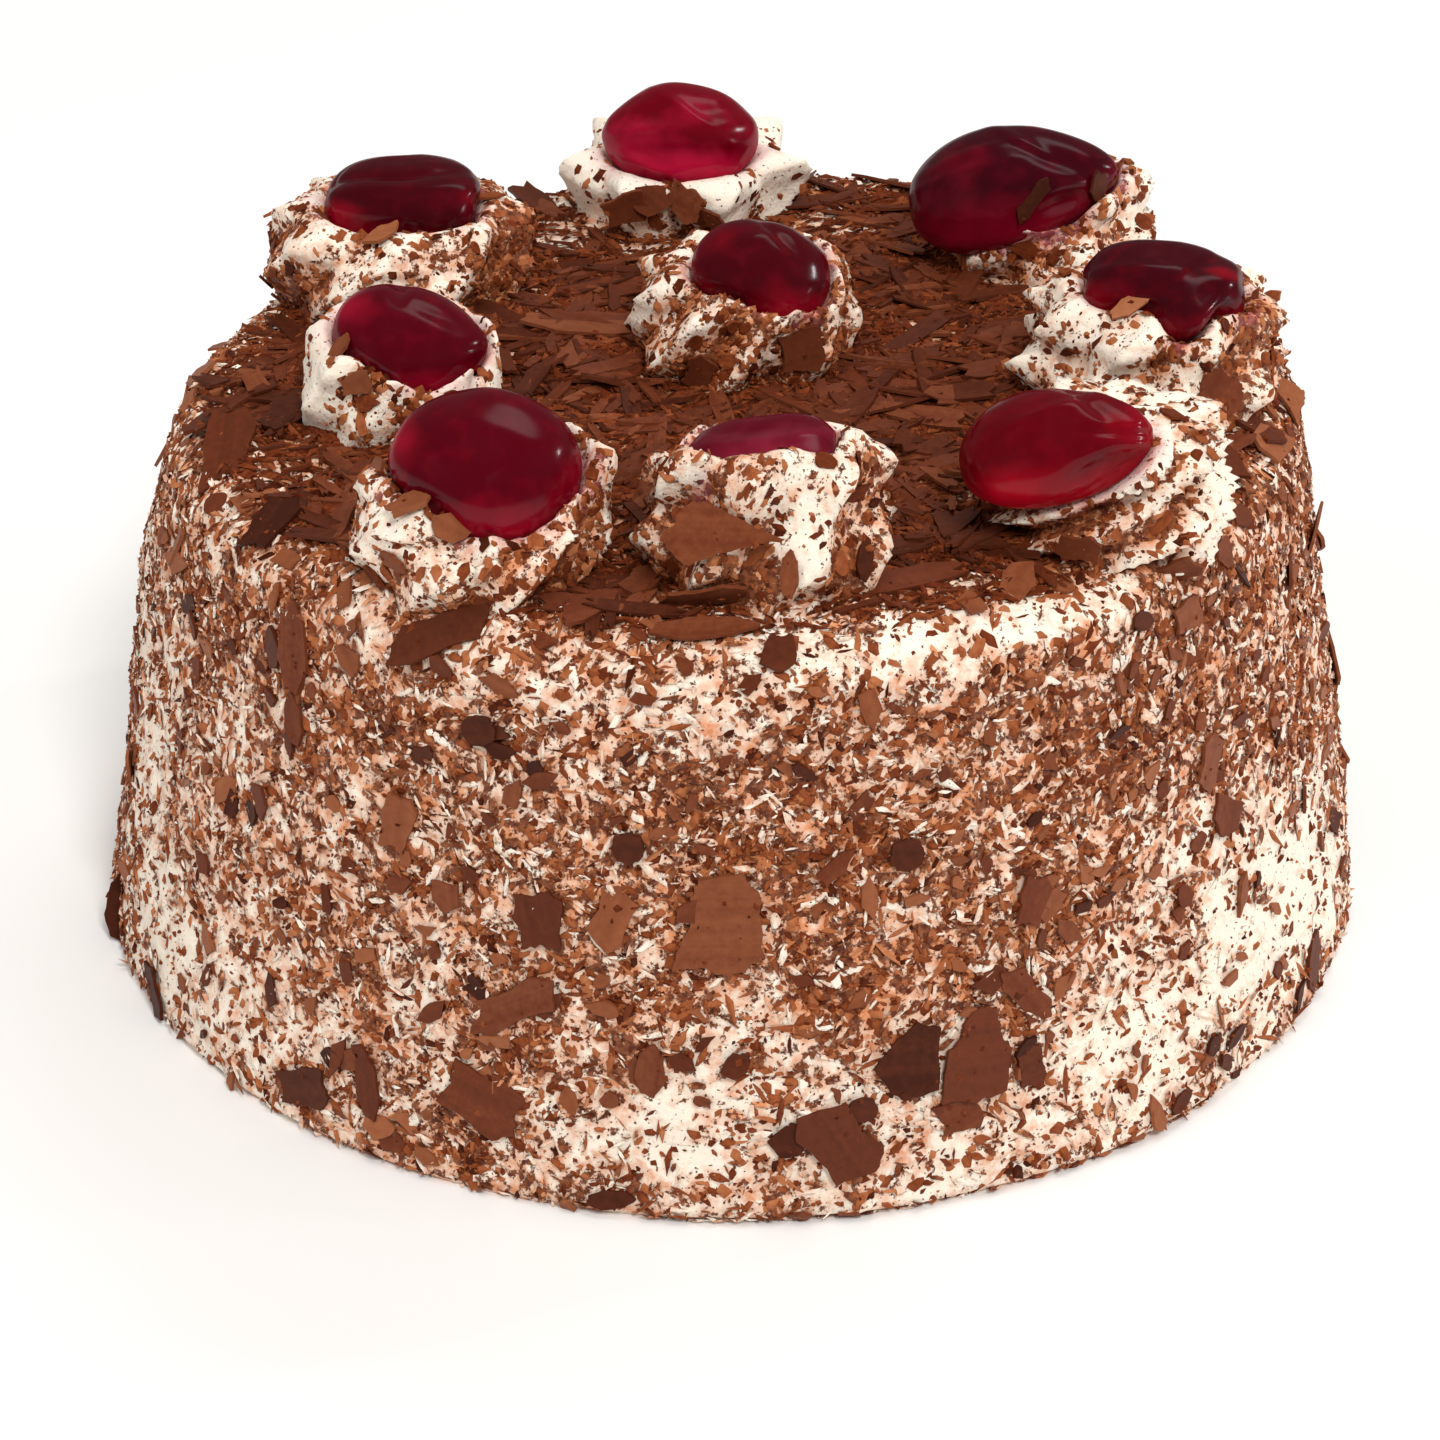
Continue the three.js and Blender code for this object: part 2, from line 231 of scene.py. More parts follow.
def setStudio():
    aim = Vector(studio["aim"]) * mm
    rise = math.radians(studio["elevation"])
    lens = bpy.data.cameras.new("camera")
    lens.lens, lens.sensor_width = studio["lens"], studio["sensor"]
    lens.clip_start, lens.clip_end = 0.05, 50
    toCamera = Vector((0, -math.cos(rise), math.sin(rise)))
    scene.camera = lookIn("camera", lens, aim, toCamera, studio["distance"])

    form = bmesh.new()
    bmesh.ops.create_grid(form, x_segments=1, y_segments=1, size=studio["floorSize"] / 2 * mm)
    floor = newObject("floor", meshOf("floor", form))
    material, tree, shader = blankMaterial("paleFloor")
    feed(tree, shader, {"Base Color": paint(*studio["floorColour"]), "Roughness": 0.6,
                        "Specular IOR Level": 0.2})
    floor.data.materials.append(material)

    world = bpy.data.worlds.new("studio")
    world.use_nodes = True
    feed(world.node_tree, world.node_tree.nodes["Background"],
         {"Color": studio["worldColour"], "Strength": studio["worldStrength"]})
    scene.world = world
    for name, (bearing, elevation, distance, width, height, power, mirrored) in studio["softboxes"].items():
        lamp = bpy.data.lights.new(name, "AREA")
        lamp.shape = "ELLIPSE"
        lamp.size, lamp.size_y, lamp.energy = width * mm, height * mm, power
        rise = math.radians(elevation)
        out = Vector(atBearing(bearing, math.cos(rise), math.sin(rise)))
        lookIn(name, lamp, aim, out, distance).visible_glossy = mirrored
    scene.view_settings.view_transform = "Standard"


setStudio()
print("studio set")


# the cream coat of the cake

cakeForm = {
    "height": 70,
    "baseRadius": 80,
    "topRadius": 62,
    "shoulderOut": 8.5,
    "shoulderDrop": 8,
    "footChamfer": 1.2,
    "sideLean": math.radians(8.6),
    "waviness": 0.7,
    "swells": ((-112, 71, 46, 14, -3.0), (94, 30, 32, 32, 0.9)),  # one slumped shoulder, one fuller side
    "around": 610,
    "rowStep": 0.8,
    "topStep": 1.3,
    "knifeLumps": ((7.0, 0.32, 5), (3.0, 0.34, 6), (1.7, 0.26, 7)),  # grain, how far out, seed
}
baseRadius, topRadius, cakeHeight = (cakeForm[key] for key in ("baseRadius", "topRadius", "height"))
shoulderOut, shoulderDrop, sideLean = (cakeForm[key] for key in ("shoulderOut", "shoulderDrop", "sideLean"))
sideTopRadius = topRadius + shoulderOut * math.cos(sideLean)
sideTopHeight = cakeHeight - shoulderDrop * (1 - math.sin(sideLean))
sideLength = math.hypot(baseRadius - sideTopRadius, sideTopHeight)
shoulderLength = (shoulderOut + shoulderDrop) / 2 * (math.pi / 2 - sideLean)
rimClimb = sideLength + shoulderLength
topClimb = rimClimb + topRadius


# Place and normal on the skin after a climb up the side, round the shoulder and in across the top.
def skinAt(bearing, climb):
    climb = np.asarray(climb, float)
    lean = np.interp(climb, [sideLength, rimClimb], [sideLean, math.pi / 2])
    share = climb / sideLength
    onSide, onShoulder = climb < sideLength, climb < rimClimb
    radius = np.where(onSide, baseRadius + (sideTopRadius - baseRadius) * share,
                      np.where(onShoulder, topRadius + shoulderOut * np.cos(lean), topClimb - climb))
    height = np.where(onSide, sideTopHeight * share, cakeHeight - shoulderDrop * (1 - np.sin(lean)))
    return atBearing(bearing, radius, height), atBearing(bearing, np.cos(lean), np.sin(lean))


# The bearing and climb of points on or near the skin.
def placeOn(points):
    radius, height = np.hypot(points[:, 0], points[:, 1]), points[:, 2]
    lean = np.arctan2((height - cakeHeight + shoulderDrop) / shoulderDrop,
                      (radius - topRadius) / shoulderOut)
    climb = np.interp(lean, [sideLean, math.pi / 2], [sideLength, rimClimb])
    climb = np.where(height < sideTopHeight, height / sideTopHeight * sideLength, climb)
    return np.degrees(bearingOf(points)), np.where(radius < topRadius, topClimb - radius, climb)


# How far the skin stands out from its even form: slow waves, swells and knife marks.
def skinLift(points):
    angle, height = bearingOf(points), points[:, 2]
    radius = np.hypot(points[:, 0], points[:, 1])
    wave = (0.5 * np.sin(3 * angle + 0.7) + 0.35 * np.sin(5 * angle + height / 14)
            + 0.3 * np.sin(9 * angle - height / 9 + 1.9))
    lift = cakeForm["waviness"] * wave * np.interp(radius, [topRadius, sideTopRadius], [0, 1])
    lift = addHumps(lift, *placeOn(points), cakeForm["swells"])
    return addLumps(lift, points, cakeForm["knifeLumps"])


# How much of the cream is hidden by chocolate, from 0 to 1.
chocolateCover = {
    "climbs": (0, 8, 24, 34, 56, 66, 74, 81, 140),
    "cover": (0.62, 0.56, 0.64, 0.712, 0.732, 0.68, 0.765, 0.92, 0.99),
    "bare": (  # humps by which the cover is thinner, or thicker where less than 0
        (60, 18, 19, 16, 0.53), (38, 11, 11, 8, 0.26), (-58, 11, 17, 10, 0.37), (-72, 32, 11, 14, 0.28),
        (-3, 13, 7, 8, 0.3), (22, 3, 12, 4, 0.26), (28, 70, 14, 3.5, 0.26), (14, 69, 12, 3, 0.22),
        (4, 74, 6, 4, 0.3), (46, 36, 9, 7, 0.14), (8, 68, 30, 7, 0.17), (-28, 66, 10, 4, 0.2),
        (44, 60, 16, 9, -0.1), (-152, 81, 10, 7, 0.36), (-149, 91, 9, 5, 0.4), (-134, 105, 8, 4, 0.3),
        (-163, 97, 8, 5, 0.3), (161, 87, 9, 7, 0.3), (140, 112, 16, 4, 0.26), (-30, 130, 40, 4, 0.3),
        (-66, 80, 7, 4, 0.24), (-40, 44, 20, 18, 0.14), (55, 8, 20, 6, -0.1), (8, 14, 14, 12, 0.05),
        (184, 113, 18, 5, 0.3), (108, 40, 20, 14, 0.22), (150, 14, 22, 13, 0.42), (205, 52, 22, 12, 0.3),
        (238, 20, 20, 16, 0.4), (275, 44, 18, 18, 0.26), (180, 72, 16, 5, 0.4),
    ),
    "drifts": ((9, 0.14, 21), (4.2, 0.17, 22), (2.2, 0.14, 23)),  # grain, how much either way, seed
}


def coverAt(points):
    bearing, climb = placeOn(points)
    cover = np.interp(climb, chocolateCover["climbs"], chocolateCover["cover"])
    cover = addHumps(cover, bearing, climb, chocolateCover["bare"], -1)
    return np.clip(addLumps(cover, points, chocolateCover["drifts"]), 0.05, 0.98)


def makeCoat():
    foot = cakeForm["footChamfer"]
    climbs = np.concatenate([np.arange(foot, rimClimb, cakeForm["rowStep"]),
                             np.arange(rimClimb, topClimb - 1, cakeForm["topStep"])])
    outline = [(0, 0), (40, 0), (70, 0), (baseRadius - foot, 0)]
    outline += [(-y, z) for _, y, z in skinAt(0, climbs)[0]] + [(0, cakeHeight)]
    mesh = spunMesh("coat", outline, cakeForm["around"])
    points = meshPoints(mesh)
    _, normal = skinAt(*placeOn(points))
    onSkin = np.clip(points[:, 2] / 1.5, 0, 1)
    points += (normal.T * skinLift(points) * onSkin).T
    setLayer(mesh, "cover", coverAt(points))
    setLayer(mesh, "stain", np.zeros(len(points)))
    placePoints(mesh, points)
    return mesh


creamColours = {
    "clean": (243, 229, 211),
    "tinged": (214, 140, 96),
    "soaked": (142, 86, 58),
    "cocoaDark": (90, 42, 24),
    "cocoa": (136, 78, 48),
    "cherryJuice": (196, 92, 118),
}


# Whipped cream that cocoa dust tinges where the cover is dense, with flecks too small to be pieces.
def creamFinish(name, fleckSize, fleckShare):
    material, tree, shader = blankMaterial(name)
    shades = {key: paint(*colour) for key, colour in creamColours.items()}
    cover = attribute(tree, "cover")
    patches = grain(tree, 1.9, 4, 0.6)
    cloud = calc(tree, "ADD", calc(tree, "MULTIPLY", cover, 1.1),
                 calc(tree, "MULTIPLY", calc(tree, "SUBTRACT", patches, 0.5), 1.9))
    colour = blend(tree, rescale(tree, cloud, 0.3, 0.98), shades["clean"], shades["tinged"])
    colour = blend(tree, rescale(tree, cover, 0.86, 0.98), colour, shades["soaked"])
    cocoa = blend(tree, rescale(tree, grain(tree, 0.8, 2), 0.4, 0.6), shades["cocoaDark"], shades["cocoa"])
    fleck = grain(tree, fleckSize, 5, 0.66)
    amount = calc(tree, "ADD", fleck, calc(tree, "MULTIPLY", cover, fleckShare))
    dust = rescale(tree, grain(tree, 0.5, 1), 0.69, 0.73)
    speckled = calc(tree, "MAXIMUM", rescale(tree, amount, 0.705, 0.75), dust)
    colour = blend(tree, speckled, colour, cocoa)
    stain = calc(tree, "MULTIPLY", attribute(tree, "stain"), rescale(tree, patches, 0.3, 0.7, 0.4, 1))
    colour = blend(tree, stain, colour, shades["cherryJuice"])
    height = calc(tree, "ADD", grain(tree, 0.9, 4, 0.6), calc(tree, "MULTIPLY", speckled, 0.5))
    relief = wire(tree, "Bump", {"Height": height, "Distance": 0.35 * mm, "Strength": 0.8})
    feed(tree, shader, {"Base Color": colour, "Normal": relief.outputs["Normal"], "Roughness": 0.5,
                        "Specular IOR Level": 0.25, "Subsurface Weight": 0.15,
                        "Subsurface Radius": (1.0, 0.62, 0.4), "Subsurface Scale": 0.9 * mm})
    return material


coatCream = creamFinish("shavedFrosting", 1.5, 0.3)
coat = addPiece("cream_coat", makeCoat(), coatCream, "cake_body", smooth=True)
print("cream coat", len(coat.data.polygons))


# rosettes and cherries

# rosette: bearing, distance from the middle, radius, height. profile: its outline, in shares of both.
# ridges, ridge and tips: how many, how deep, how far they rise. twist: how many degrees they wind round,
# from start. lumpy: how uneven it is. lean: how much lower its back is. peaks: bearing round it, rise and
# half width of places where its upper edge is pulled up or pressed down. rim: the lip round its cherry.
# cover: how thickly shavings lie on it, grooved: how much more in its grooves, partly shavings and partly
# painted shade in the grooves, patches: humps of the cover.
# shift, lift: where the cherry is, from the rosette's foot. half: its half sizes. tilt: its turns about X
# and Y. taper, droop, boxy, fold: how its +X end narrows, its ends sink, its form squares and its skin
# wrinkles. deep and bright: its red where no light is painted, and its lighter red where a painted glow
# stands in for light shining through the glaze and bounced up from the cream. forms (across, up, turn,
# length, width, swell) and glows (across, up, size, strength) are humps on its front view, in hundredths
# of the fruit; the glows are painted light.
starProfile = ((0, -0.62), (0.8, -0.62), (0.84, -0.3), (0.92, 0.04), (1, 0.26), (0.94, 0.4), (0.84, 0.52),
               (0.84, 0.6), (0.88, 0.76), (0.79, 0.9), (0.6, 1), (0.28, 0.99), (0, 0.96))
moundProfile = ((0, -0.62), (0.8, -0.62), (0.86, -0.3), (0.94, 0.04), (1, 0.28), (0.98, 0.46), (0.94, 0.6),
                (0.92, 0.74), (0.84, 0.9), (0.7, 0.99), (0.28, 0.99), (0, 0.96))
usualTopping = {"profile": starProfile, "taper": 0, "droop": 0, "boxy": 2, "ridges": 8, "ridge": 0.24,
                "tips": 0.05, "lumpy": 1, "twist": 42, "groovedCoverAndShade": 0.36, "lean": 0, "peaks": ()}
toppings = [{**usualTopping, **topping} for topping in (
    {"rosette": (4.5, 48, 16.2, 16), "ridge": 0.2, "lumpy": 0.85, "lean": 5,
     "peaks": ((64, 3.2, 14), (-56, 0.6, 16), (0, 3, 45), (-96, -3, 26)), "rim": 1.2, "cover": 0.58,
     "patches": ((19, 0.45, 12, 0.6, -0.5), (-30, 0.1, 60, 0.35, 0.25), (75, 0.6, 30, 0.5, 0.2)),
     "shift": (-0.4, -1), "lift": 12.4, "half": (8.4, 6.7, 3.8), "tilt": (4, -7), "boxy": 3, "fold": 0.04,
     "deep": (82, 2, 20), "paintedGlowRed": (142, 36, 58),
     "forms": ((0, 42, 4, 110, 12, 6), (-20, 75, 2, 70, 16, -7)), "paintedGlows": ((0, 20, 70, 70),)},
    {"rosette": (49.5, 57, 15.8, 12.5), "ridge": 0.26, "lumpy": 0.7, "twist": 120, "groovedCoverAndShade": 0.7,
     "peaks": ((70, 1.4, 10), (100, 2, 10), (-50, -3.6, 44)), "rim": 0.3, "cover": 0.42,
     "patches": ((70, 0.8, 40, 0.35, -0.06), (-40, 0.4, 40, 0.6, 0.3), (40, 0.3, 50, 0.4, 0.06)),
     "shift": (-7, -7), "lift": 12, "half": (11.3, 8, 5.5), "tilt": (14, -12), "taper": 0.1, "droop": 0.06,
     "fold": 0.05, "deep": (86, 0, 10), "paintedGlowRed": (146, 4, 24),
     "forms": ((34, 72, -62, 50, 13, -13), (52, -62, 28, 55, 34, -24), (-50, -50, 20, 40, 40, 3),
         (-15, 50, 28, 60, 10, 6), (62, 10, -10, 40, 10, -8)),
     "paintedGlows": ((-50, -70, 45, 90), (70, 30, 40, 60))},
    {"rosette": (87, 51, 18.2, 13), "rim": 1.4, "cover": 0.5,
     "patches": ((60, 0.4, 45, 0.7, 0.24), (-25, 0.55, 30, 0.3, -0.2), (-75, 0.3, 16, 0.5, -0.34)),
     "shift": (1.2, -2.5), "lift": 14.4, "half": (9.8, 6.4, 4.1), "tilt": (8, 6), "droop": 0.1, "boxy": 2.8,
     "fold": 0.05, "deep": (54, 1, 9), "paintedGlowRed": (140, 3, 22),
     "forms": ((12, -72, 66, 50, 20, 80), (30, -30, 60, 35, 10, -14), (66, 30, 70, 40, 16, 10),
         (38, 42, 60, 40, 9, -10), (-40, 30, 6, 50, 12, 5), (-30, -80, 5, 60, 30, -16)),
     "paintedGlows": ((62, 35, 22, 100), (-60, -10, 40, 40))},
    {"rosette": (133, 56, 16, 12), "lean": 4, "rim": 1, "cover": 0.5,
     "patches": ((70, 0.6, 30, 0.5, -0.2),), "shift": (-4.8, -4), "lift": 10.6, "half": (13.6, 9.4, 7.2),
     "tilt": (8, -12), "taper": 0.2, "droop": 0.06, "fold": 0.02, "deep": (52, 1, 10),
     "paintedGlowRed": (128, 8, 32),
     "forms": ((12, 62, -46, 42, 8, 6), (42, 30, -44, 50, 18, -12), (-45, 50, 24, 50, 7, 3),
         (-50, 22, 14, 50, 7, 3), (50, -55, 30, 50, 25, -14)),
     "paintedGlows": ((-55, 30, 45, 70), (-20, -50, 50, 50))},
    {"rosette": (186.5, 54.5, 17, 8.6),
     "profile": ((0, -0.62), (0.82, -0.62), (0.85, -0.2), (0.88, 0.1), (0.94, 0.36), (1, 0.62), (0.94, 0.8),
         (0.8, 0.93), (0.6, 1), (0.28, 0.99), (0, 0.96)), "ridges": 7, "ridge": 0.22, "tips": 0.08,
     "lumpy": 0.4, "twist": 0, "start": 180, "rim": 0.2, "cover": 0.03,
     "patches": ((0, 0.05, 70, 0.35, 0.5),), "shift": (-0.4, -3), "lift": 10.4, "half": (10.3, 8.6, 6.3),
     "tilt": (5, 0), "fold": 0.03, "deep": (98, 0, 16), "paintedGlowRed": (180, 18, 56),
     "forms": ((-25, 2, -3, 50, 10, 5), (4, 42, -46, 45, 8, 6), (-42, 34, 8, 30, 22, -10),
         (45, 42, 12, 40, 20, -8), (10, -42, 0, 70, 20, -8), (-42, -62, -32, 35, 7, 6),
         (-20, 86, 10, 30, 20, 8)), "paintedGlows": ((-50, -5, 50, 60), (20, 40, 40, 60), (30, -80, 40, 60))},
    {"rosette": (235, 52, 18, 11.2), "profile": moundProfile, "ridge": 0.12, "lumpy": 0.8, "lean": 2,
     "peaks": ((0, -1.4, 45),), "rim": 0.5, "cover": 0.56,
     "patches": ((-6, 0.5, 36, 0.3, -0.16), (82, 0.5, 38, 0.6, 0.4), (-70, 0.1, 40, 0.3, 0.25)),
     "shift": (0.5, -1.5), "lift": 10.8, "half": (9.7, 7.6, 4.8), "tilt": (6, 3), "taper": -0.1,
     "droop": 0.06, "boxy": 3.1, "fold": 0.04, "deep": (58, 1, 9), "paintedGlowRed": (132, 6, 26),
     "forms": ((-5, 50, 4, 70, 10, -10), (0, 20, 3, 60, 10, 5), (72, 30, 75, 40, 22, 13),
         (-86, 60, 45, 40, 30, -12), (0, 95, 0, 50, 20, -6), (45, -10, 70, 30, 10, -6)),
     "paintedGlows": ((-70, -30, 35, 80), (70, 10, 25, 60))},
    {"rosette": (283.5, 41, 12.8, 10.6), "profile": moundProfile, "ridge": 0.12, "lumpy": 0.6, "rim": 1.6,
     "cover": 0.3, "patches": ((-70, 0.6, 40, 0.7, -0.3), (-20, 0.7, 20, 0.3, 0.24)), "shift": (1.2, -2.6),
     "lift": 10, "half": (9.2, 8.2, 5.2), "tilt": (22, 10), "taper": 0.12, "fold": 0.03,
     "deep": (74, 0, 12), "paintedGlowRed": (144, 8, 36),
     "forms": ((-12, 95, 90, 30, 12, -13), (-62, -60, -42, 60, 26, -15), (85, 10, 60, 40, 20, 8),
         (35, 50, -20, 35, 12, -5)), "paintedGlows": ((-75, 50, 35, 80), (20, -85, 50, 60))},
    {"rosette": (329, 54.5, 15.8, 11), "profile": moundProfile, "ridge": 0.16, "tips": 0,
     "peaks": ((100, 2.6, 56), (8, -5.4, 46)), "rim": 1.4, "cover": 0.48,
     "patches": ((-25, 0.45, 30, 0.5, -0.12), (60, 0.5, 40, 0.6, 0.25)), "shift": (0.4, -1.2), "lift": 11.4,
     "half": (10.9, 10.2, 7.2), "tilt": (20, 6), "fold": 0.02, "deep": (76, 0, 12), "paintedGlowRed": (144, 5, 32),
     "forms": ((-30, 85, 62, 30, 14, -4), (-62, -66, -40, 60, 22, -10), (20, 62, -20, 45, 16, -3)),
     "paintedGlows": ((-85, 30, 30, 90), (20, -90, 50, 50), (90, 0, 30, 40))},
    {"rosette": (171, 8.1, 15, 11.5), "profile": moundProfile, "ridge": 0.16, "tips": 0.02, "lumpy": 0.9,
     "peaks": ((100, 2.4, 34),), "rim": 1.4, "cover": 0.66, "patches": ((-75, 0.4, 22, 0.7, -0.4),),
     "shift": (2.4, -3.4), "lift": 11.5, "half": (8.7, 7.6, 5.2), "tilt": (24, 10), "taper": 0.06,
     "fold": 0.04, "deep": (64, 1, 9), "paintedGlowRed": (138, 6, 28),
     "forms": ((20, 72, -52, 40, 10, -7), (-55, -70, -12, 50, 28, -18), (50, -50, 0, 40, 40, 5),
         (-20, 50, 30, 40, 10, 4)), "paintedGlows": ((45, -60, 50, 70), (-50, 50, 30, 40))},
)]
cherryForm = {"around": 112, "rings": 64}
rosetteForm = {
    "around": 176,
    "rows": 60,
    "ridgeSharpness": 0.72,
    "upperEdge": (0.82, 0.17),  # level and half height
    "lumps": ((6.5, 0.8, 31), (3.4, 0.8, 32), (1.7, 0.34, 33)),  # grain, rise, seed
    "socketGap": 0.25,
    "lipReach": 1.3,  # in cherries
    "lipSmoothing": 5,
}
frontRise = math.radians(studio["elevation"])
frontAxes = np.array([(1, 0, 0), (0, math.sin(frontRise), math.cos(frontRise)),
                      (0, -math.cos(frontRise), math.sin(frontRise))])


def cherryTurn(topping):
    x, y = (math.radians(angle) for angle in topping["tilt"])
    return np.array(Matrix.Rotation(x, 3, "X") @ Matrix.Rotation(y, 3, "Y"))


def toppingFoot(topping):
    bearing, ring, _, _ = topping["rosette"]
    return atBearing(bearing, ring, cakeHeight)


def cherryCentre(topping):
    return toppingFoot(topping) + np.array([*topping["shift"], topping["lift"]])


# Points from a cherry's middle, along its own axes, in shares of a half size.
def fromCherry(topping, points, half):
    return (points - cherryCentre(topping)) @ cherryTurn(topping) / half


# Directions from a cherry's middle as its front view has them: across, up and towards the front.
def frontOf(topping, ball):
    seen = frontAxes @ cherryTurn(topping) * topping["half"]
    across = unit(seen[0])
    up = unit(seen[1] - across * (seen[1] @ across))
    return ball @ np.stack([across, up, np.cross(across, up)], -1)


# How far the fruit swells out or is pressed in, for each direction from its middle.
def cherrySwell(topping, ball):
    seed = 41 + toppings.index(topping)
    crease = np.abs(lumps(ball + seed, 0.62, seed)) - 0.25
    swell = 1 + 0.02 * lumps(ball, 0.5, seed + 20) - topping["fold"] * np.clip(crease, -0.3, 0.3)
    boxy = topping["boxy"]
    swell = swell * np.sum(np.abs(ball) ** boxy, axis=-1) ** (-1 / boxy)
    across, up, toward = frontOf(topping, ball).T
    front = np.clip(toward * 3 + 0.5, 0, 1)
    forms = np.array(topping["forms"]) / (100, 100, 1, 100, 100, 100)
    for middle, level, turn, length, width, far in forms:
        angle = math.radians(turn)
        along = (across - middle) * math.cos(angle) + (up - level) * math.sin(angle)
        aside = (up - level) * math.cos(angle) - (across - middle) * math.sin(angle)
        swell = swell + far * front * np.exp(-(along / length) ** 2 - (aside / width) ** 2)
    return swell


def cherryShape(topping, points):
    # a unit ball's points as the flattened fruit, round its own centre
    x, y, z = points.T
    girth = 1 - topping["taper"] * x
    half = topping["half"]
    return np.stack([x * half[0], y * girth * half[1],
                     z * girth * half[2] - topping["droop"] * half[0] * x ** 2], -1)


def makeCherry(topping):
    form = bmesh.new()
    bmesh.ops.create_uvsphere(form, u_segments=cherryForm["around"], v_segments=cherryForm["rings"],
                              radius=1)
    mesh = meshOf("cherry", form)
    ball = meshPoints(mesh)
    fruit = cherryShape(topping, (ball.T * cherrySwell(topping, ball)).T)
    # Painted glow: lighter red painted towards the lower part of the fruit, with a mottle, and in its
    # glows, standing in for light shining through the glaze and bounced up from the cream.
    clouds = lumps(ball, 0.7, 81 + toppings.index(topping))
    paintedGlow = 0.6 - 0.9 * np.clip(ball[:, 2] + 0.3, 0, 1) + 0.2 * clouds
    across, up, toward = frontOf(topping, ball).T
    for middle, level, size, strength in np.array(topping["paintedGlows"]) / 100:
        aside = np.hypot(across - middle, up - level) / size
        paintedGlow = paintedGlow + strength * np.exp(-aside ** 2) * (toward > -0.3)
    setLayer(mesh, "paintedGlow", np.clip(paintedGlow, 0, 1))
    placePoints(mesh, fruit @ cherryTurn(topping).T + cherryCentre(topping))
    return mesh


def cherryFinish(number, topping):
    material, tree, shader = blankMaterial(f"glazedCherry{number}")
    # The painted glow, with a mottle, mixes the deep red towards the lighter red of the painted glow.
    clouds = rescale(tree, grain(tree, 2.6, 2), 0.3, 0.7, -0.12, 0.12)
    paintedGlow = calc(tree, "ADD", attribute(tree, "paintedGlow"), clouds)
    colour = blend(tree, rescale(tree, paintedGlow, 0, 1), paint(*topping["deep"]), paint(*topping["paintedGlowRed"]))
    ripple = wire(tree, "Bump", {"Height": grain(tree, 3.6, 1), "Distance": 0.3 * mm, "Strength": 0.16})
    rippled = ripple.outputs["Normal"]
    feed(tree, shader, {"Base Color": colour, "Normal": rippled, "Coat Normal": rippled, "Roughness": 0.5,
                        "Specular IOR Level": 0.0, "Coat Weight": 0.4, "Coat Roughness": 0.18,
                        "Coat IOR": 1.45, "Subsurface Weight": 0.2, "Subsurface Radius": (1.0, 0.12, 0.1),
                        "Subsurface Scale": 2.5 * mm})
    return material


# How far round a rosette its ridges have wound at a level.
def rosetteTurn(topping, level):
    return np.radians(topping.get("start", topping["rosette"][0]) + topping["twist"] * level)


# Which ridge a place is on, and how deep between two ridges, from 0 on a crest to 1.
def grooveAt(topping, angle, level):
    place = angle * topping["ridges"] / (2 * math.pi)
    wander = np.stack([np.sin(angle), np.cos(angle), level], -1) * 2
    place = place + 0.16 * lumps(wander, 1, toppings.index(topping) + 1)
    return np.floor(place).astype(int), 1 - np.abs(1 - 2 * (place % 1))


# How thickly the shavings lie on a rosette: in drifts, in its grooves, and more towards its foot.
# In the grooves the extra cover also darkens the cream: partly painted shade.
def rosetteCover(topping, points):
    away = points - toppingFoot(topping)
    level = away[:, 2] / topping["rosette"][3]
    angle = bearingOf(away)
    _, groove = grooveAt(topping, angle - rosetteTurn(topping, level), level)
    cover = topping["cover"] * (1.2 - 0.4 * level) + topping["groovedCoverAndShade"] * (groove - 0.5)
    cover = addHumps(cover, np.degrees(angle), level, topping["patches"])
    drift = 0.24 * lumps(points, 4.6, 71) + 0.18 * lumps(points, 2.2, 73)
    return np.clip(cover + drift * (topping["cover"] + 0.25), 0.02, 0.95)


